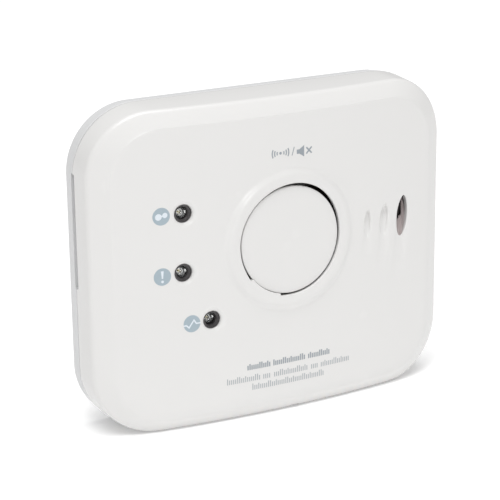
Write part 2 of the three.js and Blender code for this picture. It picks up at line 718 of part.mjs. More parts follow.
function mountingPlate() {
  const body = slab(roundedRectangle(0, PLATE_Z, PLATE_WIDTH, PLATE_HEIGHT, PLATE_CORNER), 0, PLATE_THICK);
  const neckEnd = POCKET_INNER + HOOK_GAP;
  const tall = HOOK_TALL / 2;
  const hooks = HOOKS.flatMap(({ x, z }) => [
    block(x - HOOK_NECK / 2, x + HOOK_NECK / 2, PLATE_THICK - 1, neckEnd + 0.5, z - tall, z + tall),
    block(x - HOOK_HEAD / 2, x + HOOK_HEAD / 2, neckEnd, neckEnd + HOOK_HEAD_THICK, z - tall, z + tall),
  ]);
  const thumb = rod(THUMB.radius, -1, PLATE_THICK + 1, 0, PLATE_Z - PLATE_HEIGHT / 2 - THUMB.radius + THUMB.sink);
  const long = WALL_SLOT_LENGTH;
  const wide = 2 * WALL_SLOT_RADIUS + 0.01;
  return piece(
    "mounting_plate",
    cut(
      join(body, ...hooks),
      thumb,
      wallSlot(-WALL_SLOT_X, PLATE_Z, wide, long),
      wallSlot(WALL_SLOT_X, PLATE_Z, long, wide),
    ),
    "grey",
  );
}

// ---- Circuit board and what it carries ----

function circuitBoard() {
  const middle = (BOARD_BOTTOM + BOARD_TOP) / 2;
  const outline = roundedRectangle(0, middle, 2 * BOARD_HALF_WIDTH, BOARD_TOP - BOARD_BOTTOM, BOARD_CORNER);
  const cutOut = SOUNDER_RADIUS + POCKET_GAP + COLLAR_WALL + POCKET_GAP;
  const holes = BOARD_SCREWS.map(({ x, z }) =>
    rod(BOARD_SCREW.shank + 0.2, BOARD_BACK - 1, BOARD_FRONT + 1, x, z, COARSE),
  );
  return piece(
    "circuit_board",
    cut(
      slab(outline, BOARD_BACK, BOARD_FRONT),
      rod(cutOut, BOARD_BACK - 1, BOARD_FRONT + 1, SOUNDER.x, SOUNDER.z, FINE),
      block(
        SOUNDER.x,
        BOARD_HALF_WIDTH + 1,
        BOARD_BACK - 1,
        BOARD_FRONT + 1,
        SOUNDER.z - SOUNDER_RADIUS,
        SOUNDER.z + SOUNDER_RADIUS,
      ),
      ...holes,
    ),
    "board",
  );
}

function indicator({ name, x, z, colour }) {
  const base = BOARD_FRONT + SEAT_GAP;
  const tip = base + LED_LENGTH;
  const shoulder = tip - LED_RADIUS;
  const dome = [1, 2, 3, 4].map((i) => {
    const turn = (i * Math.PI) / 8;
    return [LED_RADIUS * Math.cos(turn), shoulder + LED_RADIUS * Math.sin(turn)];
  });
  dome[3][0] = 0;
  const led = turned(
    [
      [0, base],
      [LED_FLANGE_RADIUS, base],
      [LED_FLANGE_RADIUS, base + LED_FLANGE],
      [LED_RADIUS, base + LED_FLANGE],
      [LED_RADIUS, shoulder],
      ...dome,
    ],
    x,
    z,
    COARSE,
  );
  const inner = LED_FLANGE_RADIUS + 0.1;
  const outer = inner + HOLDER_WALL;
  const rim = faceDepth(x) - HOLDER_SINK;
  const holder = turned(
    [
      [inner, base],
      [outer, base],
      [outer, rim],
      [inner, rim],
      [inner, base],
    ],
    x,
    z,
  );
  return [piece(`led_${name}`, led, "ceramic", colour), piece(`led_holder_${name}`, holder, "black")];
}

function testSwitch() {
  const base = BOARD_FRONT + SEAT_GAP;
  const top = base + TACT_HEIGHT;
  const half = TACT_SIZE / 2;
  const { x, z } = BUTTON;
  const body = cut(
    block(x - half, x + half, base, top, z - half, z + half),
    rod(PLUNGER_RADIUS + PLUNGER_GAP, top - TACT_BORE_DEPTH, top + 1, x, z),
  );
  const plunger = rod(PLUNGER_RADIUS, top - PLUNGER_SUNK, top + PLUNGER_PROUD, x, z);
  return [piece("test_switch_body", body, "black"), piece("test_switch_plunger", plunger, "grey")];
}

function gasSensor() {
  const { x, z } = SENSOR;
  const front = BOARD_BACK - SEAT_GAP;
  const shoulder = front - SENSOR_BODY;
  const neck = SENSOR_RADIUS - 1.2;
  const body = join(
    rod(SENSOR_RADIUS, shoulder, front, x, z),
    rod(neck, shoulder - SENSOR_GASKET, shoulder + 0.5, x, z),
  );
  const capSeat = shoulder - SENSOR_GASKET - SEAT_GAP;
  const gasket = turned(
    [
      [neck + SEAT_GAP, shoulder - SEAT_GAP],
      [SENSOR_RADIUS, shoulder - SEAT_GAP],
      [SENSOR_RADIUS, capSeat + SEAT_GAP],
      [neck + SEAT_GAP, capSeat + SEAT_GAP],
      [neck + SEAT_GAP, shoulder - SEAT_GAP],
    ],
    x,
    z,
  );
  const cap = cut(
    rod(SENSOR_RADIUS - SENSOR_CAP_LIP, capSeat - SENSOR_CAP, capSeat, x, z),
    rod(SENSOR_PORT_RADIUS, capSeat - SENSOR_CAP - 1, capSeat + 1, x, z, COARSE),
  );
  return [
    piece("sensor_body", body, "steel"),
    piece("sensor_gasket", gasket, "rubber"),
    piece("sensor_cap", cap, "black"),
  ];
}

function sounder() {
  const { x, z } = SOUNDER;
  const inner = SOUNDER_RADIUS - SOUNDER_WALL;
  const ledge = inner - LEDGE_WIDTH;
  const casing = turned(
    [
      [0, SOUNDER_BACK],
      [SOUNDER_RADIUS, SOUNDER_BACK],
      [SOUNDER_RADIUS, SOUNDER_FRONT],
      [inner, SOUNDER_FRONT],
      [inner, SOUNDER_LEDGE],
      [ledge, SOUNDER_LEDGE],
      [ledge, SOUNDER_BACK + SOUNDER_WALL],
      [0, SOUNDER_BACK + SOUNDER_WALL],
    ],
    x,
    z,
    ROUND,
  );
  const discBack = SOUNDER_LEDGE + SEAT_GAP;
  const discFront = discBack + DISC_THICK;
  const disc = rod(inner - 0.4, discBack, discFront, x, z, ROUND);
  const ceramic = rod(CERAMIC_RADIUS, discBack - SEAT_GAP - CERAMIC_THICK, discBack - SEAT_GAP, x, z);
  const capBack = SOUNDER_FRONT - SOUND_CAP_THICK;
  const cap = turned(
    [
      [SOUND_PORT_RADIUS, capBack],
      [ledge, capBack],
      [ledge, discFront + SEAT_GAP],
      [inner - SEAT_GAP, discFront + SEAT_GAP],
      [inner - SEAT_GAP, SOUNDER_FRONT - 0.1],
      [SOUND_PORT_RADIUS, SOUNDER_FRONT - 0.1],
      [SOUND_PORT_RADIUS, capBack],
    ],
    x,
    z,
    ROUND,
  );
  return [
    piece("sounder_case", casing, "black"),
    piece("sounder_disc", disc, "brass"),
    piece("sounder_ceramic", ceramic, "ceramic"),
    piece("sounder_cap", cap, "black"),
  ];
}

// Spring strips from the board's back over the sounder's back.
function sounderContacts() {
  const edge = SOUNDER.x - SOUNDER_RADIUS;
  const foot = BOARD_BACK - SEAT_GAP;
  const over = SOUNDER_BACK - SEAT_GAP;
  const bend = edge - 5;
  const t = TAB_THICK;
  const outline = [
    [bend - 4, foot],
    [bend - 4, foot - t],
    [bend - t, foot - t],
    [bend - t, over - t],
    [edge + 6, over - t],
    [edge + 6, over],
    [bend, over],
    [bend, foot],
  ];
  return [-1, 1].map((side) => {
    const z = SOUNDER.z + side * CONTACT_SPREAD;
    const name = side < 0 ? "sounder_contact_lower" : "sounder_contact_upper";
    return piece(name, strip(outline, z - CONTACT_WIDTH / 2, z + CONTACT_WIDTH / 2), "steel");
  });
}

function cell() {
  const start = CELL_X - CELL_LENGTH / 2;
  const end = CELL_X + CELL_LENGTH / 2;
  const body = join(
    crossRod(CELL_RADIUS, start, end - TERMINAL_HEIGHT, CELL_DEPTH, CELL_Z, ROUND),
    crossRod(TERMINAL_RADIUS, end - TERMINAL_HEIGHT - 1, end, CELL_DEPTH, CELL_Z),
  );
  const tab = (name, x) => {
    const depth = CELL_DEPTH - 0.5;
    const top = BOARD_BOTTOM + 4;
    const back = BOARD_BACK - SEAT_GAP;
    const half = TAB_THICK / 2;
    const bodyOfTab = join(
      block(x - half, x + half, depth - TAB_WIDTH / 2, back, CELL_Z - 3, top),
      block(x - TAB_WIDTH / 2, x + TAB_WIDTH / 2, back - TAB_THICK, back, top - 3, top),
    );
    return piece(name, bodyOfTab, "steel");
  };
  const clear = SEAT_GAP + TAB_THICK / 2;
  return [
    piece("battery_cell", body, "sleeve"),
    tab("battery_tab_negative", start - clear),
    tab("battery_tab_positive", end + clear),
  ];
}

function smallParts() {
  const back = BOARD_BACK - SEAT_GAP;
  const chipTop = BOARD_TOP - 1.5;
  const chip = block(-3.5, 3.5, back - 1.2, back, chipTop - 7, chipTop);
  const can = (x, z) =>
    turned(
      [
        [0, back],
        [3, back],
        [3, back - 1],
        [2.7, back - 1.4],
        [3, back - 1.8],
        [3, back - 7],
        [2.6, back - 7.3],
        [0, back - 7.3],
      ],
      x,
      z,
      COARSE,
    );
  const coil = turned(
    [
      [0, back],
      [4, back],
      [4, back - 0.8],
      [2.8, back - 1],
      [2.8, back - 3.6],
      [4, back - 3.8],
      [4, back - 4.6],
      [0, back - 4.6],
    ],
    -9,
    -4,
  );
  const regulator = block(4, 10, back - 2, back, -13, -7);
  return [
    piece("microcontroller", chip, "black"),
    piece("capacitor_supply", can(-12, 14), "steel"),
    piece("capacitor_sounder", can(8, 12), "steel"),
    piece("inductor", coil, "copper"),
    piece("voltage_regulator", regulator, "black"),
  ];
}

// ---- Screws ----

function screw(name, size, headBack, x, z) {
  const seat = headBack + size.headThick;
  const end = seat + size.length;
  const body = turned(
    [
      [0, headBack],
      [size.head * 0.8, headBack],
      [size.head, headBack + size.headThick / 2],
      [size.head, seat],
      [size.shank, seat],
      [size.shank, end - 1],
      [0, end],
    ],
    x,
    z,
    COARSE,
  );
  const [long, short] = [size.head * 0.6, size.head * 0.12];
  const sink = headBack + size.headThick * 0.6;
  const cross = join(
    block(x - long, x + long, headBack - 1, sink, z - short, z + short),
    block(x - short, x + short, headBack - 1, sink, z - long, z + long),
  );
  return piece(name, cut(body, cross), "steel");
}

function screws() {
  const boardHead = BOARD_BACK - SEAT_GAP - BOARD_SCREW.headThick;
  return [
    ...CASE_SCREWS.map(({ x, z }, i) => screw(`case_screw_${i + 1}`, CASE_SCREW, SCREW_HEAD_DEPTH, x, z)),
    ...BOARD_SCREWS.map(({ x, z }, i) => screw(`board_screw_${i + 1}`, BOARD_SCREW, boardHead, x, z)),
  ];
}

// ---- Activation slide ----

// The slider rests at the right-hand end of its slot, which is the "on" end.
function activationSlide() {
  const { z } = SLIDE;
  const x = SLIDE.x + SLIDE_TRAVEL / 2;
  const nub = { half: SLIDE_NUB.width / 2, tall: SLIDE_NUB.height / 2 };
  const flangeBack = HOUSING_FLOOR + POCKET_GAP;
  const flangeFront = flangeBack + SLIDE_FLANGE_THICK;
  const tall = nub.tall + SLIDE_FLANGE_REACH;
  const switchBack = BOARD_BACK - SEAT_GAP - SLIDE_BODY.thick;
  const grooves = [-1, 0, 1].map((i) => {
    const middle = x + i * 1.4;
    return block(middle - 0.3, middle + 0.3, 0, 0.8, z - nub.tall - 1, z + nub.tall + 1);
  });
  const slider = cut(
    join(
      block(x - nub.half, x + nub.half, 0.3, flangeFront, z - nub.tall, z + nub.tall),
      block(x - FLANGE_HALF, x + FLANGE_HALF, flangeBack, flangeFront, z - tall, z + tall),
      block(x - 1.2, x + 1.2, flangeFront - 0.5, switchBack - POCKET_GAP, z - 1.2, z + 1.2),
    ),
    ...grooves,
  );
  const wide = SLIDE_BODY.width / 2;
  const high = SLIDE_BODY.height / 2;
  const body = block(SLIDE.x - wide, SLIDE.x + wide, switchBack, BOARD_BACK - SEAT_GAP, z - high, z + high);
  return [piece("activation_slider", slider, "black"), piece("slide_switch_body", body, "steel")];
}

function rearLabel() {
  const shape = roundedRectangle(LABEL.x, LABEL.z, LABEL.width, LABEL.height, 1.2);
  const back = LABEL.sink - SEAT_GAP - LABEL.thick;
  return piece("rear_label", slab(shape, back, back + LABEL.thick), "paper");
}

// ---- Assembly ----

const alarm = new THREE.Group();
alarm.add(
  frontCover(),
  testButton(),
  rearHousing(),
  mountingPlate(),
  circuitBoard(),
  ...LIGHTS.flatMap(indicator),
  ...testSwitch(),
  ...gasSensor(),
  ...sounder(),
  ...sounderContacts(),
  ...cell(),
  ...smallParts(),
  ...screws(),
  ...activationSlide(),
  rearLabel(),
);
const overallDepth = faceDepth(0) + BEAD_HEIGHT;
alarm.position.set(0, overallDepth / 2, HEIGHT / 2);

const part = new THREE.Group();
part.add(alarm);

export default part;
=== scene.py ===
"""Carbon monoxide alarm: the visible shells, prints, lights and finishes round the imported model.

Sizes inside the classes are millimetres. A place on the case is (x, depth, z): x to the right, depth from
the wall plane towards the front, z up from the middle of the case. Datum turns it into metres.
"""

import json
import logging
import math
from collections.abc import Callable, Iterable, Sequence
from dataclasses import dataclass, field
from enum import Enum

import bmesh
import bpy
from mathutils import Matrix, Vector


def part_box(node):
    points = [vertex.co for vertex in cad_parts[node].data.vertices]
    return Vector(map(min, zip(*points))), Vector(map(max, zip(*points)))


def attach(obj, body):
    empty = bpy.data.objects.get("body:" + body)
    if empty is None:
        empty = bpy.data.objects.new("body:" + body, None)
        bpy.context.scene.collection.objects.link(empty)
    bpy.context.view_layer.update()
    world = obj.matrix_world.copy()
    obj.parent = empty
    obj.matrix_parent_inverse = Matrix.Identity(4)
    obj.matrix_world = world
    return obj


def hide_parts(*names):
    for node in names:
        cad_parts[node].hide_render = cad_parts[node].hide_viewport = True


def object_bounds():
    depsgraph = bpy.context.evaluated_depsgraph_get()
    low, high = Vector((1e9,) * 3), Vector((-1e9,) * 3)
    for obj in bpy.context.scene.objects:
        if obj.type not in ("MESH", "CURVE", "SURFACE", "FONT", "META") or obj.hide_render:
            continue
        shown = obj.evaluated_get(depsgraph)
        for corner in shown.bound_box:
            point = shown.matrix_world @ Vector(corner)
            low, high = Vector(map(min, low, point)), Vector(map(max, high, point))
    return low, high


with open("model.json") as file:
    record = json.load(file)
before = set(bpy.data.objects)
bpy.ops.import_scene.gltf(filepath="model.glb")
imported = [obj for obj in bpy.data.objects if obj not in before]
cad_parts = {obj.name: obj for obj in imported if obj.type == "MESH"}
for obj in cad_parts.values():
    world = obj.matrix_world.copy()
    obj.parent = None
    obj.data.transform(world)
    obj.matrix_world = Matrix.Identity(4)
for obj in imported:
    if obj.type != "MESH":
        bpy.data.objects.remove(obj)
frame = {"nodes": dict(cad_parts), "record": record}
CAD_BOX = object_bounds()

LOG = logging.getLogger("alarm")
MM = 0.001
Point = tuple[float, float, float]
Ring = list[Point]
Flat = tuple[float, float]
Span = tuple[Point, Point]
Colour = tuple[float, float, float]


# ---------------------------------------------------------------- places and small sums


@dataclass(frozen=True)
class Datum:
    """Where the case's own axes lie in the row frame."""

    wall_y: float
    middle_z: float

    def place(self, point: Point) -> Vector:
        """Returns a case place as a vector in metres."""
        x, depth, z = point
        return Vector((x * MM, self.wall_y - depth * MM, self.middle_z + z * MM))

    def centre_of(self, node: str) -> Point:
        """Returns the middle of a CAD node's box as a case place."""
        low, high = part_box(node)
        mid = (low + high) / 2
        return mid.x / MM, (self.wall_y - mid.y) / MM, (mid.z - self.middle_z) / MM

    def span_of(self, node: str) -> Span:
        """Returns a CAD node's box as its lowest and highest x, depth and z."""
        low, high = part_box(node)
        return (
            (low.x / MM, (self.wall_y - high.y) / MM, (low.z - self.middle_z) / MM),
            (high.x / MM, (self.wall_y - low.y) / MM, (high.z - self.middle_z) / MM),
        )


DATUM = Datum(wall_y=CAD_BOX[1].y, middle_z=(CAD_BOX[0].z + CAD_BOX[1].z) / 2)


def lerp(a: float, b: float, share: float) -> float:
    """Returns the value a share of the way from a to b."""
    return a + (b - a) * share


def ease(value: float) -> float:
    """Returns a smooth step from 0 at 0 to 1 at 1."""
    value = min(1.0, max(0.0, value))
    return value * value * (3 - 2 * value)


def steps(first: float, last: float, count: int) -> list[float]:
    """Returns count + 1 even values from first to last."""
    return [lerp(first, last, i / count) for i in range(count + 1)]


def turn_gap(a: float, b: float) -> float:
    """Returns the unsigned angle between two directions in degrees."""
    return abs((a - b + 180) % 360 - 180)


def middle_and_size(span: Span) -> tuple[float, float, float, float]:
    """Returns a span's middle x and z, its width and its height."""
    (left, _, low), (right, _, high) = span
    return (left + right) / 2, (low + high) / 2, right - left, high - low


def direction(azimuth: float, elevation: float) -> Vector:
    """Returns the unit direction out to an azimuth and elevation in degrees; azimuth 0 is the front."""
    a, e = math.radians(azimuth), math.radians(elevation)
    return Vector((math.sin(a) * math.cos(e), -math.cos(a) * math.cos(e), math.sin(e)))


# ---------------------------------------------------------------- meshes


def build(
    name: str, points: Sequence[Point], faces: Sequence[Sequence[int]], sharp: float = 40
) -> bpy.types.Object:
    """Makes a smooth-shaded mesh object from case places.

    Args:
        name: the object's name.
        points: case places in millimetres.
        faces: corner numbers of each face.
        sharp: edges that turn by more degrees than this stay sharp.

    Returns:
        The new object, linked to the scene.
    """
    mesh = bpy.data.meshes.new(name)
    mesh.from_pydata([DATUM.place(p) for p in points], [], [list(f) for f in faces])
    mesh.validate()
    mesh.update()
    made = bpy.data.objects.new(name, mesh)
    bpy.context.scene.collection.objects.link(made)
    face_outwards(made)
    smooth(made, sharp)
    return made


def face_outwards(piece: bpy.types.Object) -> None:
    """Turns all faces of a closed piece outwards."""
    work = bmesh.new()
    work.from_mesh(piece.data)
    bmesh.ops.remove_doubles(work, verts=work.verts, dist=1e-7)
    bmesh.ops.recalc_face_normals(work, faces=work.faces)
    work.to_mesh(piece.data)
    work.free()


def smooth(piece: bpy.types.Object, sharp: float) -> None:
    """Shades a piece smooth but for edges that turn by more than sharp degrees."""
    for face in piece.data.polygons:
        face.use_smooth = True
    piece.data.set_sharp_from_angle(angle=math.radians(sharp))


def skin(rings: Sequence[Ring], closed: bool = False, capped: bool = False) -> list[tuple[int, ...]]:
    """Lists the faces of a skin over rings that all have the same number of points.

    Args:
        rings: the rings, in order.
        closed: joins the last ring to the first.
        capped: closes the first and last ring with one face each.

    Returns:
        The faces, as corner numbers into the rings laid end to end.
    """
    count = len(rings[0])
    faces: list[tuple[int, ...]] = []
    for k in range(len(rings) - (0 if closed else 1)):
        near, far = k * count, ((k + 1) % len(rings)) * count
        for i in range(count):
            j = (i + 1) % count
            faces.append((near + i, near + j, far + j, far + i))
    if capped:
        faces.append(tuple(range(count)))
        faces.append(tuple(reversed(range((len(rings) - 1) * count, len(rings) * count))))
    return faces


def loft(name: str, rings: Sequence[Ring], closed: bool = False, sharp: float = 40) -> bpy.types.Object:
    """Makes a piece from a stack of rings, closed on itself or capped at both ends."""
    points = [p for ring in rings for p in ring]
    return build(name, points, skin(rings, closed, not closed), sharp)


def circle(x: float, z: float, radius: float, depth: float, count: int) -> Ring:
    """Returns a level ring of points round a place."""
    turns = [2 * math.pi * i / count for i in range(count)]
    return [(x + radius * math.cos(t), depth, z + radius * math.sin(t)) for t in turns]


def turned(
    name: str,
    profile: Sequence[Flat],
    x: float,
    z: float,
    count: int = 48,
    closed: bool = False,
    lift: Callable[[float, float], float] | None = None,
) -> bpy.types.Object:
    """Makes a turned piece about the depth axis.

    Args:
        name: the object's name.
        profile: radius and depth of each ring.
        x: the axis's x.
        z: the axis's z.
        count: points in each ring.
        closed: joins the last ring to the first.
        lift: when given, depths are counted from this surface.

    Returns:
        The new object.
    """
    rings = [circle(x, z, max(radius, 1e-3), depth, count) for radius, depth in profile]
    if lift:
        rings = [[(px, depth + lift(px, pz), pz) for px, depth, pz in ring] for ring in rings]
    return loft(name, rings, closed)


def rounded_outline(
    x: float, z: float, width: float, height: float, radius: float, count: int = 8
) -> list[Flat]:
    """Returns a rounded rectangle's outline, with count steps in each corner."""
    outline: list[Flat] = []
    for quarter, (sx, sz) in enumerate(((1, 1), (-1, 1), (-1, -1), (1, -1))):
        cx = x + sx * (width / 2 - radius)
        cz = z + sz * (height / 2 - radius)
        for turn in steps(90 * quarter, 90 * quarter + 90, count):
            angle = math.radians(turn)
            outline.append((cx + radius * math.cos(angle), cz + radius * math.sin(angle)))
    return outline


def plate(name: str, levels: Sequence[tuple[list[Flat], float]], sharp: float = 30) -> bpy.types.Object:
    """Makes a flat piece from outlines with the same number of points, each at a depth."""
    rings = [[(x, depth, z) for x, z in outline] for outline, depth in levels]
    return loft(name, rings, sharp=sharp)


def rounded_block(
    name: str, x: float, z: float, width: float, height: float, radius: float, depths: Flat, edge: float = 0.0
) -> bpy.types.Object:
    """Makes a rounded rectangular block between two depths.

    Args:
        name: the object's name.
        x: the block's middle.
        z: the block's middle.
        width: its size along x.
        height: its size along z.
        radius: its corner radius.
        depths: where it starts and ends.
        edge: how far its end edges are rounded.

    Returns:
        The new object.
    """
    start, end = depths
    levels: list[tuple[list[Flat], float]] = []
    for turn in (0, 30, 60, 90) if edge else (90,):
        inset = edge * (1 - math.sin(math.radians(turn)))
        rise = edge * (1 - math.cos(math.radians(turn)))
        shrunk = rounded_outline(x, z, width - 2 * inset, height - 2 * inset, max(radius - inset, 0.05))
        levels.append((shrunk, start + rise))
    levels += [(outline, start + end - depth) for outline, depth in reversed(levels)]
    return plate(name, levels)


def cross_block(name: str, span_x: Flat, depths: Flat, span_z: Flat, radius: float) -> bpy.types.Object:
    """Makes a block along x whose section in depth and z has round corners."""
    outline = rounded_outline(
        sum(depths) / 2, sum(span_z) / 2, depths[1] - depths[0], span_z[1] - span_z[0], radius, 6
    )
    return loft(name, [[(x, depth, z) for depth, z in outline] for x in span_x])


def combine(
    body: bpy.types.Object, tools: Iterable[bpy.types.Object], operation: str, sharp: float = 40
) -> None:
    """Adds tools to a body or cuts them from it, and removes the tools.

    Args:
        body: the piece that is changed.
        tools: closed meshes.
        operation: UNION or DIFFERENCE.
        sharp: the angle for the final shading.
    """
    group = bpy.data.collections.new("tools")
    bpy.context.scene.collection.children.link(group)
    used = list(tools)
    for tool in used:
        group.objects.link(tool)
        bpy.context.scene.collection.objects.unlink(tool)
    change = body.modifiers.new("combine", "BOOLEAN")
    change.operation = operation
    change.operand_type = "COLLECTION"
    change.collection = group
    change.solver = "EXACT"
    graph = bpy.context.evaluated_depsgraph_get()
    made = bpy.data.meshes.new_from_object(body.evaluated_get(graph))
    body.modifiers.clear()
    body.data = made
    for tool in used:
        bpy.data.objects.remove(tool)
    bpy.data.collections.remove(group)
    smooth(body, sharp)


# ---------------------------------------------------------------- finishes


class Wires:
    """Adds nodes and links to one node tree."""

    def __init__(self, tree: bpy.types.NodeTree) -> None:
        """Keeps the tree."""
        self.tree = tree

    def node(self, kind: str, **settings: object) -> bpy.types.Node:
        """Adds a node and sets its properties."""
        made = self.tree.nodes.new(kind)
        for name, value in settings.items():
            setattr(made, name, value)
        return made

    def link(self, source: bpy.types.NodeSocket, target: bpy.types.NodeSocket) -> None:
        """Links an output to an input."""
        self.tree.links.new(source, target)

    def calc(self, operation: str, a: object, b: object) -> bpy.types.NodeSocket:
        """Adds a Math node over two sockets or numbers and returns its output."""
        made = self.node("ShaderNodeMath", operation=operation)
        for i, value in enumerate((a, b)):
            if isinstance(value, (int, float)):
                made.inputs[i].default_value = value
            else:
                self.link(value, made.inputs[i])
        return made.outputs[0]


class Group(Wires):
    """A shader group with its named sockets, and its input and output nodes as start and end."""

    def __init__(
        self, name: str, numbers: dict[str, float], colours: Sequence[str], out: dict[str, str]
    ) -> None:
        """Makes the group.

        Args:
            name: the group's name.
            numbers: each number input and its default value.
            colours: the colour inputs, which come first.
            out: each output and its socket type.
        """
        super().__init__(bpy.data.node_groups.new(name, "ShaderNodeTree"))
        sockets = self.tree.interface
        for colour in colours:
            sockets.new_socket(name=colour, in_out="INPUT", socket_type="NodeSocketColor")
        for number, value in numbers.items():
            made = sockets.new_socket(name=number, in_out="INPUT", socket_type="NodeSocketFloat")
            made.default_value = value
        for result, kind in out.items():
            sockets.new_socket(name=result, in_out="OUTPUT", socket_type=kind)
        self.start = self.node("NodeGroupInput")
        self.end = self.node("NodeGroupOutput")

    def texture(self, kind: str, **settings: object) -> bpy.types.Node:
        """Adds a texture that is fixed to the object and scaled by the group's Size."""
        made = self.node(kind, **settings)
        place = self.node("ShaderNodeTexCoord")
        self.link(place.outputs["Object"], made.inputs["Vector"])
        self.link(self.start.outputs["Size"], made.inputs["Scale"])
        return made


def moulded_grain() -> bpy.types.NodeTree:
    """Makes the group for the fine pitted texture of a spark-eroded mould.

    Returns:
        A group with Size and Depth in, and Height and Speckle out.
    """
    out = {"Height": "NodeSocketFloat", "Speckle": "NodeSocketFloat"}
    group = Group("moulded_grain", {"Size": 3000.0, "Depth": 1.0}, (), out)
    fine = group.texture("ShaderNodeTexNoise")
    fine.inputs["Detail"].default_value = 3.0
    fine.inputs["Roughness"].default_value = 0.6
    pits = group.texture("ShaderNodeTexVoronoi", feature="SMOOTH_F1")
    pits.inputs["Smoothness"].default_value = 0.7
    both = group.calc("ADD", group.calc("MULTIPLY", fine.outputs["Fac"], 0.6), pits.outputs["Distance"])
    height = group.calc("MULTIPLY", both, group.start.outputs["Depth"])
    group.link(height, group.end.inputs["Height"])
    group.link(fine.outputs["Fac"], group.end.inputs["Speckle"])
    return group.tree


def handling_marks() -> bpy.types.NodeTree:
    """Makes the group for soft smears and faint scuffs that change the gloss.

    Returns:
        A group with Base, Amount and Size in, and Roughness and Smear out.
    """
    out = {"Roughness": "NodeSocketFloat", "Smear": "NodeSocketFloat"}
    group = Group("handling_marks", {"Base": 0.4, "Amount": 0.1, "Size": 40.0}, (), out)
    smear = group.texture("ShaderNodeTexNoise")
    smear.inputs["Detail"].default_value = 6.0
    smear.inputs["Distortion"].default_value = 0.8
    swing = group.calc("SUBTRACT", smear.outputs["Fac"], 0.5)
    change = group.calc("MULTIPLY", swing, group.start.outputs["Amount"])
    rough = group.calc("ADD", group.start.outputs["Base"], change)
    group.link(rough, group.end.inputs["Roughness"])
    group.link(smear.outputs["Fac"], group.end.inputs["Smear"])
    return group.tree


def edge_shift() -> bpy.types.NodeTree:
    """Makes the group that paints a highlight on sharp convex edges and paints shade into concave corners.

    Returns:
        A group with Colour, the painted edge highlight colour, the painted corner shade colour and Amount in,
        and Colour out.
    """
    out = {"Colour": "NodeSocketColor"}
    group = Group("edge_shift", {"Amount": 0.3}, ("Colour", "Edge_highlight", "Crease_shade"), out)
    start = group.start.outputs
    shape = group.node("ShaderNodeNewGeometry")
    latest = start["Colour"]
    # pointiness masks: painted highlight on convex edges, painted shade in concave corners
    for name, low, high in (("Edge_highlight", 0.53, 0.62), ("Crease_shade", 0.47, 0.40)):
        mask = group.node("ShaderNodeMapRange", clamp=True)
        mask.inputs["From Min"].default_value = low
        mask.inputs["From Max"].default_value = high
        group.link(shape.outputs["Pointiness"], mask.inputs["Value"])
        mix = group.node("ShaderNodeMix", data_type="RGBA")
        share = group.calc("MULTIPLY", mask.outputs["Result"], start["Amount"])
        group.link(share, mix.inputs["Factor"])
        group.link(latest, mix.inputs["A"])
        group.link(start[name], mix.inputs["B"])
        latest = mix.outputs["Result"]
    group.link(latest, group.end.inputs["Colour"])
    return group.tree


class Effects:
    """The shader groups that the finishes share, each made once."""

    def __init__(self) -> None:
        """Builds the groups."""
        self.grain = moulded_grain()
        self.marks = handling_marks()
        self.edges = edge_shift()


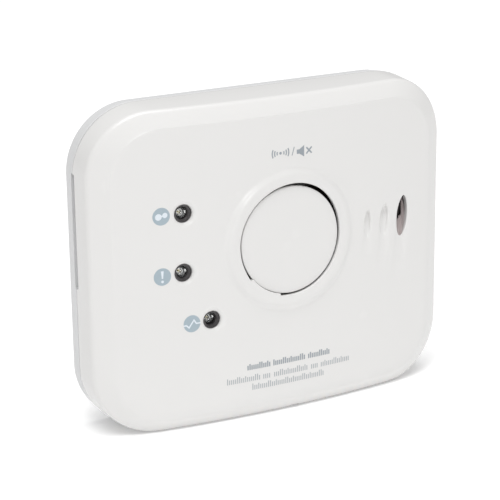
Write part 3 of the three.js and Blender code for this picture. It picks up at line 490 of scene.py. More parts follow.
@dataclass(frozen=True)
class Finish:
    """A moulded, cast or plated finish.

    Fields are linear colours and plain shader values; grain is in repeats per metre.
    """

    name: str
    colour: Colour
    roughness: float = 0.45
    metallic: float = 0.0
    coat: float = 0.0
    clear: float = 0.0
    index: float = 1.46
    grain: float = 3500.0
    grain_depth: float = 0.5
    bump: float = 0.06
    marks: float = 0.1
    mark_size: float = 45.0
    tint: float = 0.03
    # how strongly edges get the painted highlight and corners the painted shade
    painted_edge_tone: float = 0.15

    def shade(self, factor: float) -> tuple[float, float, float, float]:
        """Returns the colour multiplied by a factor, kept within 1."""
        red, green, blue = (min(1.0, channel * factor) for channel in self.colour)
        return red, green, blue, 1.0

    def material(self, effects: Effects) -> bpy.types.Material:
        """Builds the procedural material.

        Args:
            effects: the shared shader groups.

        Returns:
            The material.
        """
        made = bpy.data.materials.new(self.name)
        made.use_nodes = True
        wires = Wires(made.node_tree)
        shader = made.node_tree.nodes["Principled BSDF"]
        shader.inputs["Metallic"].default_value = self.metallic
        shader.inputs["Coat Weight"].default_value = self.coat
        shader.inputs["Coat Roughness"].default_value = 0.12
        shader.inputs["IOR"].default_value = self.index
        shader.inputs["Transmission Weight"].default_value = self.clear
        self.paint(wires, effects, shader)
        self.gloss(wires, effects, shader)
        return made

    def paint(self, wires: Wires, effects: Effects, shader: bpy.types.Node) -> None:
        """Feeds the base colour: a slight drift of tone, then a painted highlight on convex edges and painted
        shade in concave corners.
        """
        marks = self.group(wires, effects.marks, {"Size": self.mark_size * 0.5, "Base": 0.0, "Amount": 1.0})
        drift = wires.node("ShaderNodeMix", data_type="RGBA")
        drift.inputs["A"].default_value = self.shade(1 - self.tint)
        drift.inputs["B"].default_value = self.shade(1 + self.tint)
        wires.link(marks.outputs["Smear"], drift.inputs["Factor"])
        edges = self.group(wires, effects.edges, {"Amount": self.painted_edge_tone})
        # a lighter and a darker copy of the colour: painted edge highlight and painted corner shade
        edges.inputs["Edge_highlight"].default_value = self.shade(1.15)
        edges.inputs["Crease_shade"].default_value = self.shade(0.6)
        wires.link(drift.outputs["Result"], edges.inputs["Colour"])
        wires.link(edges.outputs["Colour"], shader.inputs["Base Color"])

    def gloss(self, wires: Wires, effects: Effects, shader: bpy.types.Node) -> None:
        """Feeds the roughness and the bump."""
        marks = self.group(
            wires, effects.marks, {"Base": self.roughness, "Amount": self.marks, "Size": self.mark_size}
        )
        wires.link(marks.outputs["Roughness"], shader.inputs["Roughness"])
        grain = self.group(wires, effects.grain, {"Size": self.grain, "Depth": self.grain_depth})
        bump = wires.node("ShaderNodeBump")
        bump.inputs["Strength"].default_value = self.bump
        bump.inputs["Distance"].default_value = 0.0002
        wires.link(grain.outputs["Height"], bump.inputs["Height"])
        wires.link(bump.outputs["Normal"], shader.inputs["Normal"])

    @staticmethod
    def group(wires: Wires, tree: bpy.types.NodeTree, values: dict[str, float]) -> bpy.types.Node:
        """Places a shared group with its own values."""
        made = wires.node("ShaderNodeGroup", node_tree=tree)
        for name, value in values.items():
            made.inputs[name].default_value = value
        return made


class Slot(Enum):
    """The record's material slots."""

    WHITE = "white_plastic"
    GREY = "grey_plastic"
    BLACK = "black_plastic"
    LENS = "clear_lens"
    BOARD = "board"
    STEEL = "steel"
    BRASS = "brass"
    CERAMIC = "ceramic"
    SLEEVE = "cell_sleeve"
    RUBBER = "rubber"
    LABEL = "label"
    COPPER = "copper"


FINISHES: dict[Slot, Finish] = {
    Slot.WHITE: Finish(
        "white_plastic", (0.668, 0.662, 0.653), 0.25, bump=0.05, tint=0.008, marks=0.08, painted_edge_tone=0.1
    ),
    Slot.GREY: Finish("grey_plastic", (0.63, 0.633, 0.637), 0.5, bump=0.12, tint=0.02),
    Slot.BLACK: Finish("black_plastic", (0.06, 0.055, 0.057), 0.3, grain=1900.0, bump=0.8, tint=0.3),
    Slot.LENS: Finish(
        "clear_lens", (0.93, 0.95, 0.96), 0.04, clear=0.9, index=1.52, bump=0.0, marks=0.04, tint=0.0
    ),
    Slot.BOARD: Finish("board", (0.03, 0.02, 0.017), 0.3, coat=0.5, grain=900.0, bump=0.1, tint=0.15),
    Slot.STEEL: Finish("steel", (0.62, 0.61, 0.59), 0.28, metallic=1.0, grain=2500.0, bump=0.05, painted_edge_tone=0.3),
    Slot.BRASS: Finish("brass", (0.72, 0.5, 0.2), 0.25, metallic=1.0, grain=2500.0, bump=0.05),
    Slot.CERAMIC: Finish("ceramic", (0.62, 0.58, 0.5), 0.6, bump=0.1),
    Slot.SLEEVE: Finish("cell_sleeve", (0.03, 0.11, 0.32), 0.2, coat=0.6, bump=0.04),
    Slot.RUBBER: Finish("rubber", (0.02, 0.02, 0.02), 0.85, grain=1500.0, bump=0.4),
    Slot.LABEL: Finish("label", (0.68, 0.68, 0.67), 0.35, coat=0.3, bump=0.03, tint=0.02),
    Slot.COPPER: Finish("copper", (0.52, 0.18, 0.06), 0.35, metallic=0.8, grain=1800.0, bump=0.15),
}
INK = Finish("ink", (0.27, 0.30, 0.325), 0.5, bump=0.03, tint=0.04, painted_edge_tone=0.0)
SYMBOL_INK = Finish("symbol_ink", (0.325, 0.395, 0.44), 0.45, bump=0.03, tint=0.03, painted_edge_tone=0.0)
WEAK_INK = Finish("weak_ink", (0.33, 0.355, 0.375), 0.5, bump=0.03, tint=0.04, painted_edge_tone=0.0)
SIGN_WHITE = Finish("sign_white", (0.64, 0.69, 0.74), 0.4, bump=0.03, tint=0.01, painted_edge_tone=0.0)
DIE = Finish("lamp_die", (0.75, 0.62, 0.25), 0.4, bump=0.03)
CUP_SILVER = Finish("lamp_cup", (0.78, 0.77, 0.75), 0.22, metallic=1.0, bump=0.02, painted_edge_tone=0.0)
SOUNDER_GREY = Finish("sounder_grey", (0.38, 0.33, 0.325), 0.5, bump=0.1)
FLOOR_PAPER = Finish("floor_paper", (0.95, 0.95, 0.95), 0.9, tint=0.0, bump=0.02, marks=0.02, painted_edge_tone=0.0)
PLAIN_WHITE = (1.0, 1.0, 1.0, 1.0)


@dataclass
class Kit:
    """The materials, by slot and by name."""

    effects: Effects
    by_slot: dict[Slot, bpy.types.Material] = field(default_factory=dict)
    extra: dict[str, bpy.types.Material] = field(default_factory=dict)

    def of(self, slot: Slot) -> bpy.types.Material:
        """Returns a slot's material, building it on first use."""
        if slot not in self.by_slot:
            self.by_slot[slot] = FINISHES[slot].material(self.effects)
        return self.by_slot[slot]

    def named(self, finish: Finish) -> bpy.types.Material:
        """Returns a finish's material, building it on first use."""
        if finish.name not in self.extra:
            self.extra[finish.name] = finish.material(self.effects)
        return self.extra[finish.name]


def dress(
    piece: bpy.types.Object,
    body: str,
    material: bpy.types.Material,
    stands_for: Sequence[str] = (),
) -> bpy.types.Object:
    """Gives a piece its material and its body.

    Args:
        piece: the piece.
        body: the CAD body that it rides on.
        material: what it wears.
        stands_for: the CAD nodes that it replaces.

    Returns:
        The piece.
    """
    piece.data.materials.clear()
    piece.data.materials.append(material)
    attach(piece, body)
    if stands_for:
        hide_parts(*stands_for)
    LOG.info("%s rides on %s, %d faces", piece.name, body, len(piece.data.polygons))
    return piece


# ---------------------------------------------------------------- the crowned case


@dataclass(frozen=True)
class Inset:
    """How far a level lies inside the outline on each side, and its corner radius."""

    left: float
    right: float
    top: float
    bottom: float
    radius: float

    def grown(self, extra: float) -> "Inset":
        """Returns the inset moved further in by extra, with its corners tightened."""
        return Inset(
            self.left + extra,
            self.right + extra,
            self.top + extra,
            self.bottom + extra,
            max(self.radius - extra, 0.5),
        )


@dataclass(frozen=True)
class Slit:
    """A sound slot: a leaf-shaped scoop that fades downwards, open or blind."""

    x: float
    bottom: float
    top: float
    tail: float
    width: float
    lean: float
    sink: float
    is_open: bool = False
    channel_spread: float = 1.25
    channel_margin: float = 0.3
    run_in: float = 3.0
    leaf_top: float = 0.95
    leaf_foot: float = 0.15
    leaf_edge: float = 0.24

    def middle(self, z: float) -> float:
        """Returns the x of the slot's centre line at a height."""
        return self.x + self.lean * (z - (self.top + self.bottom) / 2)

    def half_width(self, z: float) -> float:
        """Returns the scoop's half-width at a height: pointed at the top, even below."""
        down = (self.top - z) / (self.top - self.bottom)
        if down <= 0:
            return 0.0
        return self.width / 2 * math.sin(min(1.0, down / 0.5) * math.pi / 2) ** 0.75

    def scoop(self, x: float, z: float) -> float:
        """Returns how far the surface sinks at a place: the channel, and the leaf of a blind slot."""
        if not self.tail < z < self.top:
            return 0.0
        half = self.half_width(z) * self.channel_spread + self.channel_margin
        across = (x - self.middle(z)) / half
        sunk = 0.0
        if abs(across) < 1:
            fade = ((z - self.tail) / (self.top - self.tail)) ** 0.8
            start = ease((self.top - z) / self.run_in)
            sunk = self.sink * fade * start * (1 - across * across) ** 1.3
        if not self.is_open:
            sunk += self.leaf(x, z)
        return sunk

    def leaf(self, x: float, z: float) -> float:
        """Returns how far a blind slot's leaf is pressed in at a place."""
        share = (self.top - z) / (self.top - self.bottom)
        if not 0 < share < 1:
            return 0.0
        across = (x - self.middle(z)) / (self.width / 2)
        out = math.hypot(across, 2 * share - 1)
        return lerp(self.leaf_top, self.leaf_foot, share**0.7) * ease((1.0 - out) / self.leaf_edge)

    def outline(self, grow: float, count: int = 36) -> list[Flat]:
        """Returns the opening's leaf outline, moved outwards by grow."""
        right: list[Flat] = []
        left: list[Flat] = []
        for share in steps(0, 1, count):
            z = lerp(self.top, self.bottom, 0.5 - 0.5 * math.cos(math.pi * share))
            round_off = math.sin(math.pi * share) ** lerp(1.25, 0.95, share)
            half = self.width / 2 * round_off + grow * (0.35 + 0.65 * math.sin(math.pi * share))
            stretched = z + grow * math.cos(math.pi * share)
            right.append((self.middle(z) + half, stretched))
            left.append((self.middle(z) - half, stretched))
        return right[:-1] + left[::-1][:-1]


@dataclass(frozen=True)
class CaseShape:
    """The case's outline, its crowned front and everything that is sunk into or raised from it."""

    width: float
    height: float
    face: float
    button_x: float
    button_z: float
    corner: float = 20.3
    face_rise: float = 5.55
    bevel_drop: float = 2.8
    bevel_rise: float = 5.83
    bulge: float = 0.1
    parting: float = 6.6
    wall: float = 2.0
    edge_inset: float = 0.67
    crease: Inset = Inset(6.57, 6.47, 5.6, 4.0, 15.2)
    button_radius: float = 16.4
    bead_crest: float = 19.45
    bead_outer: float = 22.35
    bead_height: float = 0.8
    bead_inner: float = 0.72
    bead_crowding: float = 0.45
    hinge_turn: float = -122.5
    hinge_half: float = 19.3
    slits: tuple[Slit, ...] = (
        Slit(29.9, 0.75, 10.0, -4.5, 2.3, 0.03, 0.6),
        Slit(36.25, -0.2, 10.95, -9.5, 3.0, 0.05, 0.75),
        Slit(43.25, -0.65, 12.2, -12.5, 3.95, 0.066, 0.85, True),
    )

    def crown(self, x: float) -> float:
        """Returns 1 at mid-width and 0 at the sides."""
        return 1 - (2 * x / self.width) ** 2

    def plain_face(self, x: float) -> float:
        """Returns the depth of the crowned front before anything is sunk or raised."""
        return self.face + self.face_rise * self.crown(x)

    def edge_depth(self, x: float) -> float:
        """Returns the depth where the bevel meets the side wall."""
        return self.face - self.bevel_drop + self.bevel_rise * self.crown(x)

    def bead(self, x: float, z: float) -> float:
        """Returns the height of the raised ring at a place."""
        out = math.hypot(x - self.button_x, z - self.button_z)
        if out < self.bead_crest:
            share = max(0.0, (self.bead_crest - out) / (self.bead_crest - self.button_radius))
            return self.bead_height * lerp(1.0, self.bead_inner, share**1.6)
        share = (out - self.bead_crest) / (self.bead_outer - self.bead_crest)
        return self.bead_height * (1 - lerp(ease(share), ease(ease(share)), self.bead_crowding))

    def surface(self, x: float, z: float) -> float:
        """Returns the depth of the front with its ring and scoops, inside the crease."""
        return self.plain_face(x) + self.bead(x, z) - sum(slit.scoop(x, z) for slit in self.slits)

    def reach(self, turn: float, inset: Inset, x: float = 0.0, z: float = 0.0) -> float:
        """Returns the distance from a place to an inset outline.

        Args:
            turn: the direction in degrees, 0 to the right and 90 up.
            inset: the outline's insets.
            x: where the ray starts.
            z: where the ray starts.

        Returns:
            The distance in millimetres.
        """
        dx, dz = math.cos(math.radians(turn)), math.sin(math.radians(turn))
        left, right = -self.width / 2 + inset.left, self.width / 2 - inset.right
        low, high = -self.height / 2 + inset.bottom, self.height / 2 - inset.top
        along_x = ((right if dx > 0 else left) - x) / dx if abs(dx) > 1e-9 else math.inf
        along_z = ((high if dz > 0 else low) - z) / dz if abs(dz) > 1e-9 else math.inf
        distance = min(along_x, along_z)
        hit_x, hit_z = x + dx * distance, z + dz * distance
        centre_x = right - inset.radius if dx > 0 else left + inset.radius
        centre_z = high - inset.radius if dz > 0 else low + inset.radius
        past_x = (hit_x - centre_x) * (1 if dx > 0 else -1)
        past_z = (hit_z - centre_z) * (1 if dz > 0 else -1)
        if past_x > 0 and past_z > 0:
            off_x, off_z = x - centre_x, z - centre_z
            half = dx * off_x + dz * off_z
            rest = off_x * off_x + off_z * off_z - inset.radius * inset.radius
            distance = -half + math.sqrt(max(0.0, half * half - rest))
        return distance

    def even(self, inset: float, bottom: float | None = None) -> Inset:
        """Returns an even inset, with its own bottom value where one is given."""
        low = inset if bottom is None else bottom
        return Inset(inset, inset, inset, low, self.corner - inset)


def case_shape() -> CaseShape:
    """Reads the case's size and the button's place from the frame."""
    low, high = DATUM.span_of("front_cover")
    x, _, z = DATUM.centre_of("test_switch_plunger")
    height = (CAD_BOX[1].z - CAD_BOX[0].z) / MM
    face = high[1] - CaseShape.face_rise - CaseShape.bead_height
    LOG.info("case %.1f x %.1f, front at %.2f", high[0] - low[0], height, face)
    return CaseShape(width=high[0] - low[0], height=height, face=face, button_x=x, button_z=z)


# ---------------------------------------------------------------- front cover


@dataclass
class FrontCover:
    """The white shell with its crowned front, bevel, ring, recesses and slots."""

    shape: CaseShape
    lights: dict[str, Point]
    lip: float = 0.28
    gap: float = 0.42
    far_gap: float = 0.66
    far_turn: float = 61.0
    left_gap: float = 0.14
    end_gap: float = 0.2
    web_gap: float = 0.03
    web_lip: float = 0.1
    recess_radius: float = 2.72
    recess_flare: float = 1.35
    recess_drop: float = 0.8
    vent_low: float = -4.25
    vent_high: float = 30.15
    vent_front: float = 8.0
    vent_sink: float = 1.2
    vent_hole: float = 17.7
    vent_hole_rise: float = 0.45
    vent_hole_radius: float = 0.8
    notch: tuple[float, float, float] = (4.6, 2.6, 1.4)
    notch_back: float = 4.2
    fine_out: float = 24.0
    bevel_end: float = 0.84
    corner_drop: float = 1.1
    rim_inset: float = 1.0
    rim_rise: float = 2.0

    def turns(self) -> list[float]:
        """Returns the ray directions, closer together towards the slots and at the ends of the hinge."""
        turns = steps(24, 336, 200)
        turns += steps(-24, 24, 130)[1:-1]
        ends = [self.shape.hinge_turn + side * self.shape.hinge_half for side in (-1, 1)]
        for end in ends:
            turns += [(end + offset) % 360 for offset in (-0.9, -0.3, 0.3, 0.9)]
        return sorted(set(round(t % 360, 4) for t in turns))

    def web(self, turn: float) -> float:
        """Returns 1 on the hinge web and 0 away from it."""
        away = turn_gap(turn, self.shape.hinge_turn)
        return 1 - ease((away - self.shape.hinge_half + 0.3) / 0.6)

    def hole_radius(self, turn: float) -> float:
        """Returns the radius of the button's opening: widest opposite the hinge, wider again at its ends."""
        opposite = math.cos(math.radians(turn - self.far_turn))
        leftwards = max(0.0, -math.cos(math.radians(turn)))
        wide = self.gap + self.far_gap * max(0.0, opposite) ** 3 + self.left_gap * leftwards
        past_end = turn_gap(turn, self.shape.hinge_turn) - self.shape.hinge_half
        wide += self.end_gap * (1 - ease(past_end / 14))
        return self.shape.button_radius + lerp(wide, self.web_gap, self.web(turn))

    def ray(self, turn: float, distance: float) -> Flat:
        """Returns the x and z at a distance from the button's centre."""
        angle = math.radians(turn)
        x = self.shape.button_x + distance * math.cos(angle)
        return x, self.shape.button_z + distance * math.sin(angle)

    def reach(self, turn: float, inset: Inset) -> float:
        """Returns the distance from the button's centre to an inset outline."""
        return self.shape.reach(turn, inset, self.shape.button_x, self.shape.button_z)

    def front_point(self, turn: float, distance: float, drop: float = 0.0) -> Point:
        """Returns a point of the front along a ray, a drop below its surface."""
        x, z = self.ray(turn, distance)
        return x, self.shape.surface(x, z) - drop, z

    def softness(self, turn: float) -> float:
        """Returns how soft the crease is: crisp at the top, rounded at the bottom."""
        up = math.sin(math.radians(turn))
        return lerp(0.05, 0.02, up) if up > 0 else lerp(0.05, 0.22, -up)

    def column(self, turn: float) -> Ring:
        """Returns the section of the shell along one ray, from the opening round to the opening."""
        shape = self.shape
        start = self.hole_radius(turn)
        lip = lerp(self.lip, self.web_lip, self.web(turn))
        crease = self.reach(turn, shape.crease)
        edge = self.reach(turn, shape.even(shape.edge_inset, 0.0))
        column: Ring = []
        for bend in (0, 30, 60, 90):
            angle = math.radians(bend)
            out, drop = lip * (1 - math.cos(angle)), lip * (1 - math.sin(angle))
            column.append(self.front_point(turn, start + out, drop))
        column += [self.front_point(turn, d) for d in steps(start + lip, self.fine_out, 22)[1:]]
        last = lerp(edge, crease, 1.3)
        shares = steps(0, 0.06, 3)[1:] + steps(0.06, 0.63, 92)[1:] + steps(0.63, 1, 16)[1:-1]
        column += [self.front_point(turn, lerp(self.fine_out, last, share)) for share in shares]
        shares = steps(-0.3, 0.25, 24)[:-1] + steps(0.25, self.bevel_end, 8)
        column += [self.bevel_point(turn, crease, edge, share) for share in shares]
        column += self.corner_points(turn, crease, edge)
        column += self.wall_points(turn)
        column += self.inner_points(turn, start)
        return column

    def bevel_point(self, turn: float, crease: float, edge: float, share: float) -> Point:
        """Returns a point on the bevel, where share is 0 at the crease and 1 at the side wall."""
        shape = self.shape
        x, z = self.ray(turn, lerp(crease, edge, share))
        soft = self.softness(turn)
        ramp = (share + math.hypot(share, soft)) / (1 + math.hypot(1, soft))
        bulge = shape.bulge * 4 * max(0.0, ramp * (1 - ramp))
        depth = lerp(shape.surface(x, z), shape.edge_depth(x), ramp) + bulge
        return x, depth, z

    def corner_points(self, turn: float, crease: float, edge: float) -> Ring:
        """Returns the rounded turn from the bevel into the side wall."""
        start = self.bevel_point(turn, crease, edge, self.bevel_end)
        corner = self.bevel_point(turn, crease, edge, 1.0)
        outer = self.reach(turn, self.shape.even(0.0))
        x, z = self.ray(turn, lerp(edge, outer, self.corner_drop / 8))
        end = (x, corner[1] - self.corner_drop, z)
        points: Ring = []
        for share in steps(0, 1, 8)[1:]:
            a, b, c = (1 - share) ** 2, 2 * share * (1 - share), share * share
            triples = zip(start, corner, end, strict=True)
            points.append(tuple(a * p + b * q + c * r for p, q, r in triples))
        return points

    def wall_points(self, turn: float) -> Ring:
        """Returns the side wall down to the rim and the lip inside it."""
        shape = self.shape
        outer = self.reach(turn, shape.even(0.0))
        inner = self.reach(turn, shape.even(self.rim_inset))
        points: Ring = []
        for distance, depth in (
            (outer, shape.parting + 0.9),
            (outer, shape.parting + 0.2),
            (outer - 0.06, shape.parting + 0.06),
            (outer - 0.2, shape.parting),
            (inner, shape.parting),
            (inner, shape.parting + self.rim_rise),
        ):
            x, z = self.ray(turn, distance)
            points.append((x, depth, z))
        return points

    def inner_points(self, turn: float, start: float) -> Ring:
        """Returns the inside of the shell, back to the button's opening."""
        shape = self.shape
        inside = shape.even(shape.edge_inset + shape.wall, shape.wall)
        x, z = self.ray(turn, self.reach(turn, shape.even(shape.wall)))
        points: Ring = [(x, shape.parting + self.rim_rise, z)]
        x, z = self.ray(turn, self.reach(turn, inside))
        points.append((x, shape.edge_depth(x) - 1.2, z))
        far = self.reach(turn, shape.crease.grown(0.3))
        for distance in steps(far, start + 0.5, 12):
            x, z = self.ray(turn, distance)
            points.append((x, shape.plain_face(x) - shape.wall, z))
        x, z = self.ray(turn, start + 0.35)
        points.append((x, shape.plain_face(x) - shape.wall + 0.3, z))
        x, z = self.ray(turn, start + 0.1)
        points.append((x, shape.plain_face(x) - 0.9, z))
        return points

    def recess_cutter(self, name: str, x: float, z: float) -> bpy.types.Object:
        """Makes the flared hole for one light."""
        radius, flare, drop = self.recess_radius, self.recess_flare, self.recess_drop
        profile: list[Flat] = [(radius, -4.0), (radius, -drop)]
        for bend in (15, 30, 45, 60, 75, 88):
            angle = math.radians(bend)
            profile.append((radius + flare * (1 - math.cos(angle)), -drop * (1 - math.sin(angle))))
        profile.append((radius + flare + 0.3, 0.5))
        return turned(name, profile, x, z, 64, lift=self.lift)

    def lift(self, x: float, z: float) -> float:
        """Returns the depth of the plain front at a place."""
        return self.shape.plain_face(x)

    def vent_hole_cutter(self) -> bpy.types.Object:
        """Makes the small hole through the side wall, inside the vent."""
        left = -self.shape.width / 2
        radius, middle = self.vent_hole_radius, self.shape.parting + self.vent_hole_rise
        turns = [2 * math.pi * i / 24 for i in range(24)]
        section = [(middle + radius * math.cos(t), self.vent_hole + radius * math.sin(t)) for t in turns]
        return loft("vent_hole", [[(x, depth, z) for depth, z in section] for x in (left - 1, left + 5)])

    def vent_cutter(self, depths: Flat, radius: float) -> bpy.types.Object:
        """Makes the cutter for the side vent between two depths."""
        left = -self.shape.width / 2
        across = (left - 1, left + self.vent_sink)
        return cross_block("vent_cutter", across, depths, (self.vent_low, self.vent_high), radius)

    def slit_cutter(self, slit: Slit) -> bpy.types.Object:
        """Makes the cutter for the open sound slot, with a softened mouth."""
        levels = ((0.3, -5.0), (0.2, -1.6), (0.05, -0.6), (0.0, -0.25), (0.03, -0.1), (0.2, 0.06), (0.4, 1.5))
        surface = self.shape.surface
        rings = [[(x, surface(x, z) + rise, z) for x, z in slit.outline(grow)] for grow, rise in levels]
        return loft("slot_cutter", rings)

    def make(self, kit: Kit) -> bpy.types.Object:
        """Builds and dresses the cover.

        Args:
            kit: the materials.

        Returns:
            The cover.
        """
        shape = self.shape
        columns = [self.column(turn) for turn in self.turns()]
        cover = loft("cover_shell", columns_to_rings(columns), closed=True)
        tools = [self.recess_cutter(f"recess_{name}", x, z) for name, (x, _, z) in self.lights.items()]
        tools += [self.slit_cutter(slit) for slit in shape.slits if slit.is_open]
        tools.append(self.vent_cutter((shape.parting - 2, self.vent_front), 0.7))
        tools.append(self.vent_hole_cutter())
        x, width, tall = self.notch
        foot, front = -shape.height / 2, DATUM.span_of("front_cover")[1][1]
        depths = (front - self.notch_back, front + 1)
        tools.append(rounded_block("notch_cutter", x, foot + 0.1, width, tall, 0.25, depths))
        combine(cover, tools, "DIFFERENCE", sharp=32)
        return dress(cover, "alarm_case", kit.of(Slot.WHITE), ["front_cover"])


def columns_to_rings(columns: Sequence[Ring]) -> list[Ring]:
    """Turns sections along rays into rings round the shell."""
    return [list(ring) for ring in zip(*columns, strict=True)]


@dataclass
class SoundHorn:
    """The slanted, ribbed floor seen through the open sound slot, beside a deep trench whose black floor
    paints the shadow in the slot's upper left.
    """

    shape: CaseShape
    grow: float = 0.28
    sink_top: float = 3.1
    sink_bottom: float = 0.9
    rib: float = 0.25
    rib_waves: float = 5.2
    trench_sink: float = 3.5
    trench_share: float = 0.24
    thick: float = 0.2

    def share(self, slit: Slit, z: float) -> float:
        """Returns 0 at the slot's top and 1 at its bottom."""
        return min(1.0, max(0.0, (slit.top - z) / (slit.top - slit.bottom)))

    def sink(self, slit: Slit, x: float, z: float) -> float:
        """Returns how far the ribbed floor lies below the front at a place."""
        wave = math.sin((x - slit.middle(z)) * self.rib_waves)
        return lerp(self.sink_top, self.sink_bottom, self.share(slit, z) ** 1.5) + self.rib * wave

    def trench_edge(self, slit: Slit, z: float) -> float:
        """Returns the x where the ribbed floor begins, right of the trench."""
        closing = ease((self.share(slit, z) - 0.5) / 0.35)
        return slit.middle(z) + slit.width * lerp(self.trench_share, -1.0, closing)

    def floor(self, name: str, slit: Slit, ribbed: bool) -> bpy.types.Object:
        """Makes the ribbed floor, or the flat bottom of the trench, which make dresses black as painted
        shadow.

        Args:
            name: the object's name.
            slit: the slot that it lies under.
            ribbed: makes the ribbed floor when true.

        Returns:
            The new object.
        """
        middle_z = (slit.top + slit.bottom) / 2
        middle_x = slit.middle(middle_z) + (slit.width * 0.3 if ribbed else 0.0)
        rings: list[Ring] = []
        for scale in (0.02, *steps(0.08, 1.0, 24)):
            ring: Ring = []
            for x, z in slit.outline(self.grow):
                edge = max(x, self.trench_edge(slit, z)) if ribbed else x
                px, pz = lerp(middle_x, edge, scale), lerp(middle_z, z, scale)
                sunk = self.sink(slit, px, pz) if ribbed else self.trench_sink
                ring.append((px, self.shape.plain_face(px) - sunk, pz))
            rings.append(ring)
        rings += [[(x, depth - self.thick, z) for x, depth, z in ring] for ring in reversed(rings)]
        return loft(name, rings)

    def make(self, kit: Kit) -> None:
        """Builds and dresses the floors of the open slots: the grey ribbed floor, and the trench in black as
        painted shadow.
        """
        for slit in self.shape.slits:
            if slit.is_open:
                dress(self.floor("horn_floor", slit, True), "alarm_case", kit.named(SOUNDER_GREY))
                # black trench bottom: painted shadow of the slot's upper left wall
                dress(self.floor("horn_painted_shadow", slit, False), "alarm_case", kit.of(Slot.BLACK))


# ---------------------------------------------------------------- test button


@dataclass
class TestButton:
    """The round button, flush with the crowned front."""

    cover: FrontCover
    rim: float = 0.32
    crown: float = 0.12
    side: float = 0.7
    skirt: float = 4.0
    skirt_wall: float = 1.1
    undercut: float = 0.35
    thick: float = 2.0
    post_radius: float = 2.2

    def ring(self, radius: float, sink: float) -> Ring:
        """Returns one ring of the button, a distance below the crowned face."""
        ring: Ring = []
        for turn in steps(0, 360, 180)[:-1]:
            x, z = self.cover.ray(turn, radius)
            ring.append((x, self.cover.shape.plain_face(x) - sink, z))
        return ring

    def make(self, kit: Kit) -> bpy.types.Object:
        """Builds and dresses the button.

        Args:
            kit: the materials.

        Returns:
            The button.
        """
        radius = self.cover.shape.button_radius
        tip = DATUM.span_of("test_switch_plunger")[1][1] + 0.1
        rings: list[Ring] = []
        for share in (0.001, 0.15, 0.3, 0.45, 0.6, 0.75, 0.88):
            rings.append(self.ring(radius * share, -self.crown * (1 - share**4)))
        for bend in (90, 65, 40, 20, 0):
            angle = math.radians(bend)
            out = radius - self.rim * (1 - math.cos(angle))
            rings.append(self.ring(out, self.rim * (1 - math.sin(angle))))
        inner = radius - self.undercut
        for out, sink in (
            (radius, self.side),
            (inner, self.side + 0.3),
            (inner, self.skirt),
            (inner - self.skirt_wall, self.skirt),
            (inner - self.skirt_wall - 0.2, self.thick),
            (self.post_radius + 0.5, self.thick),
            (self.post_radius, self.thick + 0.5),
        ):
            rings.append(self.ring(out, sink))
        rings += [[(x, tip, z) for x, _, z in self.ring(out, 0)] for out in (self.post_radius, 0.01)]
        button = loft("button_cap", rings, sharp=35)
        return dress(button, "button", kit.of(Slot.WHITE), ["test_button"])


# ---------------------------------------------------------------- rear housing


@dataclass(frozen=True)
class Hooks:
    """The four hooks on which the case hangs."""

    x: float = 24.0
    spread: float = 12.5
    neck: float = 3.0
    head: float = 7.0
    tall: float = 2.4

    def places(self, plate_span: Span) -> list[Flat]:
        """Returns the x and z of each hook on a plate."""
        middle = (plate_span[0][2] + plate_span[1][2]) / 2
        return [(x, middle + side * self.spread) for x in (-self.x, self.x) for side in (-1, 1)]


